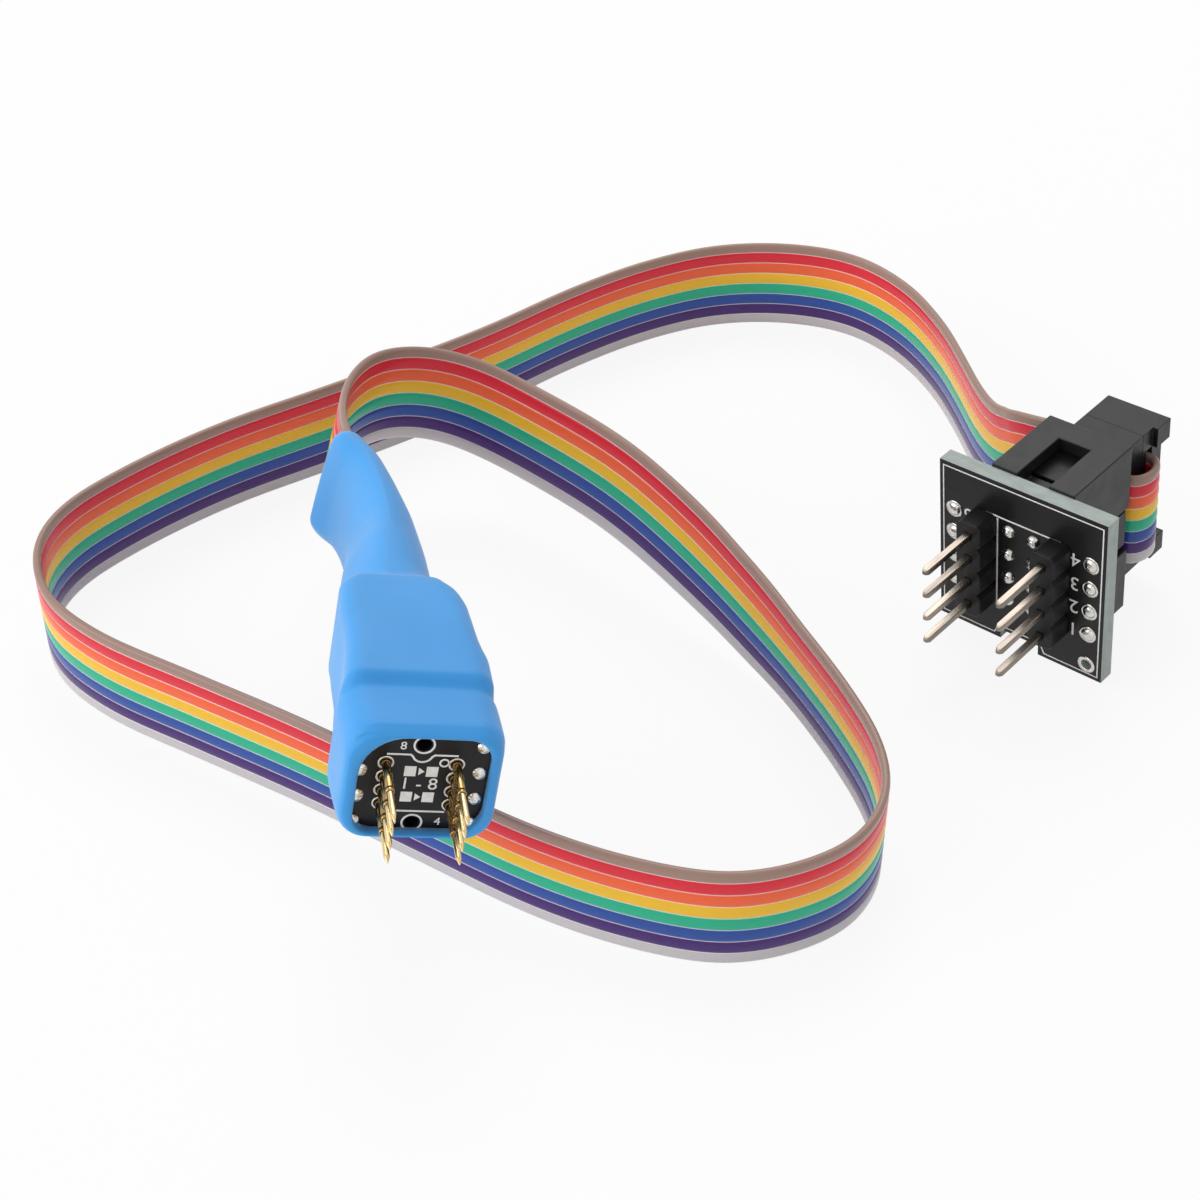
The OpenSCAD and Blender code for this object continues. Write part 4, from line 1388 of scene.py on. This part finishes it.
    def build(self, sleeve: GripSleeve) -> None:
        """Args:
            sleeve: The sleeve that the ribbon leaves.
        """
        frames = self.frames(sleeve)
        leave = sleeve.section_at(sleeve.tail_len - self.exit_depth)
        twist = math.radians(leave.twist)
        last = len(Wire) - 1
        for index, wire in enumerate(Wire):
            rise = (last / 2 - index) * self.pitch
            path = [place + up * rise for place, _, up in frames]
            section = self.outline(index > 0, index < last)
            points = [
                place + side * depth + up * (rise + across)
                for place, side, up in frames
                for depth, across in section
            ]
            piece = link(f"ribbon_{wire.name.lower()}", self._tube(points, section, path))
            dress(piece, HAND_BODY, wire.node, wire.node, finish=wire.finish())
            local = (leave.shift + rise * math.sin(twist), leave.y, rise * math.cos(twist) - self.drop)
            tuple(GRIP.point(local) * MM)

    def _tube(self, points: list[Vector], section: list[Flat], path: list[Vector]) -> bpy.types.Mesh:
        """Joins rings of points into a closed tube with a UV map in metres and a seam attribute.

        The attribute says how near a point is to the groove between two wires, where the finish paints a
        highlight.

        Args:
            points: The rings' points, one ring after another.
            section: The wire's section.
            path: The tube's middle line.

        Returns:
            The mesh in metres.
        """
        rings, count = len(path), len(section)
        faces = strips(rings, count, closed=False)
        faces += [tuple(range(count)), tuple(range((rings - 1) * count, rings * count))]
        mesh = mesh_of("wire", [point * MM for point in points], faces)
        runs = [0.0]
        for a, b in pairwise(path):
            runs.append(runs[-1] + (b - a).length * MM)
        layer = mesh.uv_layers.new(name="along")
        for loop in mesh.loops:
            ring, place = divmod(loop.vertex_index, count)
            layer.data[loop.index].uv = (place / count * self.girth * MM, runs[ring])
        # Mask of the painted highlight along each groove between wires.
        depth = self.pitch / 2 - self.seam_at
        seams = [max(0.0, (abs(across) - self.seam_at) / depth) for _, across in section]
        near = mesh.attributes.new(HIGHLIGHT_SEAM, "FLOAT", "POINT")
        near.data.foreach_set("value", seams * rings)
        set_sharp(mesh, self.sharp)
        return mesh


@dataclass
class PinRow:
    """The eight sprung pins: fixed barrels, plungers that slide in them, and springs.

    A row of crimp holds a distance behind the barrel's front and the depth there, and a row of blunt a
    radius and its distance behind the plunger's tip.
    """

    count: int = 8
    row_gap: float = 5.2
    pitch: float = 1.27
    barrel_r: float = 0.34
    bore_r: float = 0.28
    neck_r: float = 0.25
    front: float = -3.4
    back: float = 9.6
    bore_end: float = 8.6
    neck: float = 0.6
    neck_slope: float = 0.01
    soft: float = 0.05
    rim: float = 0.03
    crimp: tuple[Flat, ...] = ((0.32, 0.0), (0.42, 0.04), (0.52, 0.04), (0.62, 0.0))
    shaft_r: float = 0.23
    head_r: float = 0.26
    tip: float = -6.6
    point: float = 0.7
    blunt: tuple[Flat, ...] = ((0.0, 0.0), (0.03, 0.01), (0.06, 0.06))
    ease: float = 0.02
    head_front: float = -2.79
    head_len: float = 1.6
    travel: float = 2.6
    spring_wire: float = 0.04
    turns: float = 8.0
    segments: int = 40
    sharp: float = 50.0

    def numbers(self) -> range:
        """Gives the pins' numbers, from 1."""
        return range(1, self.count + 1)

    def place(self, number: int) -> Flat:
        """Gives a pin's place on the tip board.

        Args:
            number: The pin's number, counted down the right row and up the left one.

        Returns:
            The place across and up.
        """
        row = self.count // 2
        middle = (row + 1) / 2
        if number <= row:
            return self.row_gap / 2, (middle - number) * self.pitch
        return -self.row_gap / 2, (number - row - middle) * self.pitch

    def move(self, number: int) -> Matrix:
        """Gives the move from a shape turned round Z, front first, to a pin's place."""
        x, z = self.place(number)
        return GRIP.matrix() @ Matrix.Translation((x, 0.0, z)) @ Matrix.Rotation(math.radians(-90), 4, "X")

    def barrel(self) -> list[Flat]:
        """Gives the barrel's section: a rolled rim, a crimp, a bore and a closed end.

        Returns:
            The radius and the place along the pin of each corner.
        """
        r, front, back, soft = self.barrel_r, self.front, self.back, self.soft
        return [
            (self.neck_r, front + self.rim), (self.neck_r + self.rim, front), (r - soft, front),
            (r, front + soft), *((r - depth, front + along) for along, depth in self.crimp), (r, back - soft),
            (r - soft, back), (0.0, back), (0.0, self.bore_end), (self.bore_r, self.bore_end),
            (self.bore_r, front + self.neck), (self.neck_r, front + self.neck - self.neck_slope),
        ]

    def plunger(self) -> list[Flat]:
        """Gives the plunger's section: a blunt point, a shaft and a head.

        Returns:
            The radius and the place along the pin of each corner.
        """
        r, head, ease, rim = self.shaft_r, self.head_r, self.ease, self.rim
        shoulder, front, back = self.tip + self.point, self.head_front, self.head_front + self.head_len
        return [
            *((out, self.tip + along) for out, along in self.blunt), (r - ease, shoulder - 2 * ease),
            (r, shoulder + ease), (r, front), (head - ease, front), (head, front + ease), (head, back - rim),
            (head - rim, back), (0.0, back),
        ]

    def build(self) -> None:
        """Builds and dresses the barrels, plungers and springs."""
        for number in self.numbers():
            self._turned_parts(number)
            self._spring(number)

    def _turned_parts(self, number: int) -> None:
        """Builds and dresses a pin's barrel and plunger.

        Args:
            number: The pin's number.
        """
        for name, profile, body, finish in (
            ("barrel", self.barrel(), HAND_BODY, SHADED_BARREL_GOLD),
            ("plunger", self.plunger(), f"plunger_{number}_body", GOLD),
        ):
            mesh = lathe(profile, self.segments)
            set_sharp(mesh, self.sharp)
            mesh.transform(self.move(number))
            piece = link(f"pin_{name}_{number}", mesh)
            dress(piece, body, "gold", f"{name}_{number}", finish=finish)

    def _spring(self, number: int) -> None:
        """Builds and dresses a pin's spring.

        Args:
            number: The pin's number.
        """
        spring_front = self.head_front + self.head_len
        spring_len = self.bore_end - spring_front
        wind = SHOP.run(
            Repeat.COIL, point_object([(0.0, 0.0)]),
            self.move(number) @ Matrix.Translation((0.0, 0.0, spring_front + self.spring_wire)),
            Radius=self.head_r - self.spring_wire, Length=spring_len - 2 * self.spring_wire,
            Turns=self.turns, Wire=self.spring_wire, Material=STEEL.material(),
        )
        spring = link(f"pin_spring_{number}", wind)
        dress(spring, HAND_BODY, "spring_steel", f"spring_{number}")
        x, z = self.place(number)
        tuple(GRIP.point((x, self.bore_end, z)) * MM)
        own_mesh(spring)


@dataclass(frozen=True)
class RingMark:
    """A flat ring on a board's face."""

    radius: float
    width: float
    height: float

    def at(self, places: Sequence[Flat], board: Placement, finish: Finish) -> bpy.types.Mesh:
        """Makes the ring at each place.

        Args:
            places: The rings' middles on the face.
            board: The frame of the face.
            finish: Their finish.

        Returns:
            The mesh of them all.
        """
        return SHOP.run(
            Repeat.RINGS, point_object(places), board.face(), Radius=self.radius, Width=self.width,
            Height=self.height, Material=finish.material(),
        )


@dataclass(frozen=True)
class SolderJoint:
    """A domed ring of solder with the end of a pin in it.

    A row of dome holds shares of the radius and of the height. The seed sets its copies' spins and sizes.
    """

    radius: float
    height: float
    seed: int
    foot: float = 0.02
    dome: tuple[Flat, ...] = (
        (0.9, 0.32), (0.74, 0.66), (0.56, 0.84), (0.4, 0.88), (0.34, 1.0), (0.2, 1.04), (0.0, 1.05),
    )
    segments: int = 24
    spread: float = 0.06

    def at(self, places: Sequence[Flat], board: Placement) -> bpy.types.Mesh:
        """Makes the joint at each place.

        Args:
            places: The joints' middles on the face.
            board: The frame of the face.

        Returns:
            The mesh of them all.
        """
        profile = [(0.0, -self.foot), (self.radius, -self.foot), (self.radius, self.foot)]
        profile += [(self.radius * out, self.height * up) for out, up in self.dome]
        pattern = link("joint_pattern", lathe(profile, self.segments))
        mesh = SHOP.run(
            Repeat.COPIES, point_object(places), board.face(), Pattern=pattern, Spin=math.tau,
            Spread=self.spread, Seed=self.seed, Material=SOLDER.material(),
        )
        bpy.data.objects.remove(pattern)
        mesh.shade_smooth()
        return mesh


@dataclass
class PrintedBoard:
    """What the two boards share: white print of one thickness."""

    ink: float = 0.03
    line: float = 0.16

    def printed(self, lines: Sequence[Sequence[Flat]], board: Placement) -> bpy.types.Mesh:
        """Makes the printed lines.

        Args:
            lines: The points of each line on the face.
            board: The frame of the face.

        Returns:
            The mesh of them all.
        """
        return SHOP.run(
            Repeat.LINES, line_object(lines, self.ink / 2), board.face(), Width=self.line, Height=self.ink,
            Material=INK.material(),
        )

    @staticmethod
    def stamp(
        name: str, body: str, board: Placement, placed: list[bpy.types.Mesh], drawn: list[bpy.types.Mesh]
    ) -> None:
        """Joins a board's print into one piece and dresses it.

        Args:
            name: The piece's name.
            body: The body that carries it.
            board: The frame of the face.
            placed: The parts that are at their place already.
            drawn: The parts that are still drawn flat.
        """
        for mesh in drawn:
            mesh.transform(board.face())
        dress(link(name, merged(name, placed + drawn)), body, "board", finish=INK)


@dataclass
class TipBoard(PrintedBoard):
    """The front board of the grip, with its pads, solder and markings."""

    edge: float = 0.03
    pad: RingMark = RingMark(0.53, 0.17, 0.06)
    post_x: float = 4.4
    post_pitch: float = 2.4
    post_steps: tuple[float, ...] = (-1.5, -0.5, 0.5, 1.5)
    joint: SolderJoint = SolderJoint(0.58, 0.33, seed=5)
    locate: float = 3.65
    hole_ring: RingMark = RingMark(0.74, 0.15, 0.06)
    dot: Flat = (1.68, 2.05)
    dot_ring: RingMark = RingMark(0.32, 0.14, 0.06)
    upper_line: float = 2.74
    upper_ends: Flat = (2.62, 0.88)
    dip: Flat = (0.72, 0.66)
    lower_line: tuple[Flat, Flat] = ((-2.0, -2.55), (2.3, -2.55))
    mark_ups: Flat = (1.2, -1.2)
    squares: Flat = (-0.74, 0.88)
    square_half: Flat = (0.43, 0.46)
    arrow: tuple[Flat, ...] = ((-0.12, -0.34), (0.32, 0.0), (-0.12, 0.34))
    numbers: tuple[tuple[str, float, Flat], ...] = (
        ("1 - 8", 1.5, (0.05, 0.0)),
        ("8", 1.0, (-1.5, 3.5)),
        ("5", 1.0, (-1.35, -3.55)),
        ("4", 1.0, (1.9, -3.5)),
    )

    def lines(self) -> list[Sequence[Flat]]:
        """Gives the printed lines: one with a round dip under the upper hole, and one below.

        Returns:
            The points of each line.
        """
        up, (far, near), (wide, deep) = self.upper_line, self.upper_ends, self.dip
        angles = [math.radians(a) for a in range(195, 346, 15)]
        dip = [(wide * math.cos(angle), up + deep * math.sin(angle)) for angle in angles]
        return [[(-far, up), (-near, up), *dip, (near, up), (far, up)], self.lower_line]

    def marks(self) -> list[bpy.types.Mesh]:
        """Gives the squares and arrows that show which way a chip lies.

        Returns:
            A mesh for each, drawn flat.
        """
        wide, high = self.square_half
        made = []
        for up in self.mark_ups:
            for across in self.squares:
                corners = ((-1, -1), (1, -1), (1, 1), (-1, 1))
                square = [(across + x * wide, up + y * high) for x, y in corners]
                made.append(prism(square, self.ink))
            made.append(prism([(x, up + y) for x, y in self.arrow], self.ink))
        return made

    def build(self, pins: PinRow) -> None:
        """Builds and dresses the board, its pads, its solder and its markings.

        Args:
            pins: The pins that the board carries.
        """
        board = link("tip_panel", rounded_copy("tip_board", self.edge, 1))
        dress(board, HAND_BODY, "board", "tip_board", finish=SOLDER_MASK)
        places = [pins.place(number) for number in pins.numbers()]
        dress(link("tip_pads", self.pad.at(places, GRIP, SOLDER)), HAND_BODY, "solder")
        posts = [(side * self.post_x, k * self.post_pitch) for side in (-1, 1) for k in self.post_steps]
        dress(link("tip_joints", self.joint.at(posts, GRIP)), HAND_BODY, "solder", "tip_solder")
        placed = [
            self.printed(self.lines(), GRIP),
            self.hole_ring.at([(0.0, self.locate), (0.0, -self.locate)], GRIP, INK),
            self.dot_ring.at([self.dot], GRIP, INK),
        ]
        drawn = self.marks()
        drawn += [numeral(number, size, place, self.ink) for number, size, place in self.numbers]
        self.stamp("tip_markings", HAND_BODY, GRIP, placed, drawn)


@dataclass
class RibbonPlug:
    """The plug on the ribbon's end: body, contacts, cover and strain relief."""

    edge: float = 0.06

    def build(self) -> None:
        """Builds and dresses the plug's pieces."""
        for name, node in (
            ("plug_shell", "plug_body"),
            ("plug_clamp", "plug_cover"),
            ("plug_strap", "strain_relief"),
        ):
            piece = link(name, rounded_copy(node, self.edge))
            dress(piece, HAND_BODY, "black_plastic", node, finish=MOULDED)
        paint_node("plug_contacts", CONTACT)


@dataclass
class AdapterBoard(PrintedBoard):
    """The adapter: board, box header, two pin strips, solder and markings."""

    board_edge: float = 0.05
    edge: float = 0.12
    pin_edge: float = 0.07
    flat_share: float = 0.9
    grid: float = 2.54
    steps: tuple[float, ...] = (1.5, 0.5, -0.5, -1.5)
    pad_x: float = 7.05
    spare: Flat = (7.05, -7.3)
    pad: RingMark = RingMark(0.68, 0.34, 0.08)
    pad_joint: SolderJoint = SolderJoint(0.62, 0.3, seed=3)
    header_joint: SolderJoint = SolderJoint(0.66, 0.46, seed=8)
    border: float = 8.2
    border_gap: float = 0.45
    half_h: float = 8.7
    notch: Flat = (2.0, 1.0)
    notch_gaps: Flat = (0.65, 0.2)
    corner: tuple[tuple[Flat, Flat], ...] = (((-3.7, 4.95), (4.05, 4.95)), ((-2.47, 4.75), (-2.47, -5.05)))
    number_x: Flat = (5.55, -5.6)
    number_size: float = 2.0
    number_turn: float = 180.0

    def column(self, across: float) -> list[Flat]:
        """Gives the four places of a column on the pins' pitch."""
        return [(across, step * self.grid) for step in self.steps]

    def _board(self) -> None:
        """Builds and dresses the board, with its bare laminate edges."""
        mesh = rounded_copy("adapter_board", self.board_edge, 1)
        mesh.materials.clear()
        for finish in (SOLDER_MASK, LAMINATE):
            mesh.materials.append(finish.material())
        out = ADAPTER.direction((0, 1, 0))
        for face in mesh.polygons:
            face.material_index = 0 if abs(face.normal.dot(out)) > self.flat_share else 1
        dress(link("adapter_panel", mesh), ADAPTER_BODY, "board", "adapter_board")

    def lines(self) -> list[Sequence[Flat]]:
        """Gives the printed lines: a border round the board and a corner between the strips.

        Returns:
            The points of each line.
        """
        b, low = self.border, self.border_gap - self.half_h
        (nx, nz), (wide, narrow) = self.notch, self.notch_gaps
        border = [
            (-b, b), (b, b), (b, low), (nx + wide, low), (nx + narrow, low + nz), (-nx - narrow, low + nz),
            (-nx - wide, low), (-b, low), (-b, b),
        ]
        return [border, *self.corner]

    def build(self) -> None:
        """Builds and dresses every piece of the adapter."""
        self._board()
        for name, node, finish in (
            ("header_shroud", "box_header", MOULDED),
            ("strip_left", "dip_base_left", STRIP_MOULDING),
            ("strip_right", "dip_base_right", STRIP_MOULDING),
        ):
            piece = link(name, rounded_copy(node, self.edge))
            dress(piece, ADAPTER_BODY, "black_plastic", node, finish=finish)
        for name, node in (
            ("pins_left", "dip_pins_left"),
            ("pins_right", "dip_pins_right"),
            ("pins_header", "header_pins"),
        ):
            piece = link(name, rounded_copy(node, self.pin_edge))
            dress(piece, ADAPTER_BODY, "tinned_pin", node, finish=TINNED)
        self._solder()
        self._markings()

    def _solder(self) -> None:
        """Builds and dresses the solder joints and the plated pads."""
        pads = [*self.column(-self.pad_x), *self.column(self.pad_x)]
        header = [*self.column(-self.grid / 2), *self.column(self.grid / 2)]
        joints = [self.pad_joint.at(pads, ADAPTER), self.header_joint.at(header, ADAPTER)]
        solder = link("adapter_joints", merged("adapter_joints", joints))
        dress(solder, ADAPTER_BODY, "solder", "adapter_solder", finish=SOLDER)
        rings = self.pad.at([*pads, self.spare], ADAPTER, SOLDER)
        dress(link("adapter_pads", rings), ADAPTER_BODY, "solder")

    def _markings(self) -> None:
        """Builds and dresses the printed lines and the pins' numbers."""
        printed = self.printed(self.lines(), ADAPTER)
        drawn = []
        row = len(self.steps)
        for i, (_, up) in enumerate(self.column(0.0)):
            for number, across in zip((row - i, row + 1 + i), self.number_x):
                place = (across, up)
                drawn.append(numeral(str(number), self.number_size, place, self.ink, self.number_turn))
        self.stamp("adapter_markings", ADAPTER_BODY, ADAPTER, [printed], drawn)


@dataclass
class Studio:
    """The camera at the photograph's angle, a pale floor and soft light.

    A row of lamps holds a name, a place and a size in metres, and a power.
    """

    camera_at: Point = (-40.0, -136.19, 128.73)
    aim: Point = (-12.86, 22.6, 0.0)
    lens: float = 66.36
    sensor: float = 36.0
    nearest: float = 0.005
    floor_gap: float = 0.02
    floor_half: float = 3.0
    world: float = 0.45
    floor_glow: float = 0.88
    lamps: tuple[tuple[str, Point, float, float], ...] = (
        ("left", (-0.85, -0.10, 0.35), 0.8, 4.3),
        ("top", (0.06, 0.55, 0.78), 0.6, 3.0),
        ("front", (0.12, -0.80, 0.50), 0.5, 0.5),
    )

    def build(self) -> None:
        """Builds the camera, the lamps, the world and the floor."""
        scene = bpy.context.scene
        scene.view_settings.view_transform = "Standard"
        self._camera(scene)
        self._lamps()
        self._world(scene)
        self._floor()

    @staticmethod
    def _look(way: Vector) -> Euler:
        """Gives the turn that points a camera or a lamp along a direction."""
        return way.to_track_quat("-Z", "Y").to_euler()

    def _camera(self, scene: bpy.types.Scene) -> None:
        """Builds the camera.

        Args:
            scene: The scene that it shows.
        """
        lens = bpy.data.cameras.new("camera")
        lens.lens = self.lens
        lens.sensor_width = self.sensor
        lens.clip_start = self.nearest
        camera = link("camera", lens)
        at, aim = Vector(self.camera_at) * MM, Vector(self.aim) * MM
        camera.location = at
        camera.rotation_euler = self._look(aim - at)
        scene.camera = camera

    def _lamps(self) -> None:
        """Builds the lamps, each pointed at the origin."""
        for name, place, size, power in self.lamps:
            light = bpy.data.lights.new(name, "AREA")
            light.shape = "DISK"
            light.size = size
            light.energy = power
            lamp = link(name, light)
            lamp.location = place
            lamp.rotation_euler = self._look(-Vector(place))

    def _world(self, scene: bpy.types.Scene) -> None:
        """Lights the scene from all round and shows white behind it.

        Args:
            scene: The scene to light.
        """
        world = bpy.data.worlds.new("studio")
        world.use_nodes = True
        world.node_tree.nodes.clear()
        sheet = NodeSheet(world.node_tree)
        range_of = {"Value": self._seen(sheet), "To Min": self.world, "To Max": 1.0}
        strength = sheet.add("ShaderNodeMapRange", range_of).outputs[0]
        light = sheet.add("ShaderNodeBackground", {"Color": WHITE, "Strength": strength})
        sheet.add("ShaderNodeOutputWorld", {"Surface": light.outputs[0]})
        scene.world = world

    @staticmethod
    def _seen(sheet: NodeSheet) -> bpy.types.NodeSocket:
        """Gives 1 for rays that show the background: from the camera, in a reflection or through glass.

        Args:
            sheet: The sheet of the nodes.

        Returns:
            The socket with the answer.
        """
        rays = sheet.add("ShaderNodeLightPath").outputs
        seen = rays["Is Camera Ray"]
        for kind in ("Is Glossy Ray", "Is Transmission Ray"):
            seen = sheet.add("ShaderNodeMath", {0: seen, 1: rays[kind]}, operation="MAXIMUM").outputs[0]
        return seen

    def _floor(self) -> None:
        """Builds the plain pale floor under the lowest point."""
        half, low = self.floor_half, cad_low.z - self.floor_gap * MM
        corners = [(-half, -half, low), (half, -half, low), (half, half, low), (-half, half, low)]
        floor = link("floor", mesh_of("floor", corners, [(0, 1, 2, 3)]))
        floor.data.materials.append(self._lighter_shadow(PALE_FLOOR.material()))

    def _lighter_shadow(self, material: bpy.types.Material) -> bpy.types.Material:
        """Mixes white into what the camera sees of the floor, so that its shadows are pale.

        Args:
            material: The floor's material.

        Returns:
            The same material.
        """
        sheet = NodeSheet(material.node_tree)
        shader = next(node for node in sheet.tree.nodes if node.type == "BSDF_PRINCIPLED")
        output = next(node for node in sheet.tree.nodes if node.type == "OUTPUT_MATERIAL")
        share = sheet.add("ShaderNodeMath", {0: self._seen(sheet), 1: self.floor_glow}, operation="MULTIPLY")
        white = sheet.add("ShaderNodeEmission", {"Color": WHITE, "Strength": 1.0})
        layers = {0: share.outputs[0], 1: shader.outputs[0], 2: white.outputs[0]}
        mix = sheet.add("ShaderNodeMixShader", layers)
        sheet.tree.links.new(mix.outputs[0], output.inputs["Surface"])
        return material


def main() -> None:
    """Builds the sub-assemblies in order."""
    logging.basicConfig(level=logging.INFO, format="%(name)s: %(message)s")
    Studio().build()
    sleeve = GripSleeve()
    Ribbon().build(sleeve)
    sleeve.build()
    pins = PinRow()
    pins.build()
    TipBoard().build(pins)
    paint_node("rear_board", SOLDER_MASK)
    for node in ("link_posts_left", "link_posts_right"):
        paint_node(node, TINNED)
    RibbonPlug().build()
    AdapterBoard().build()


if __name__ == "__main__":
    main()
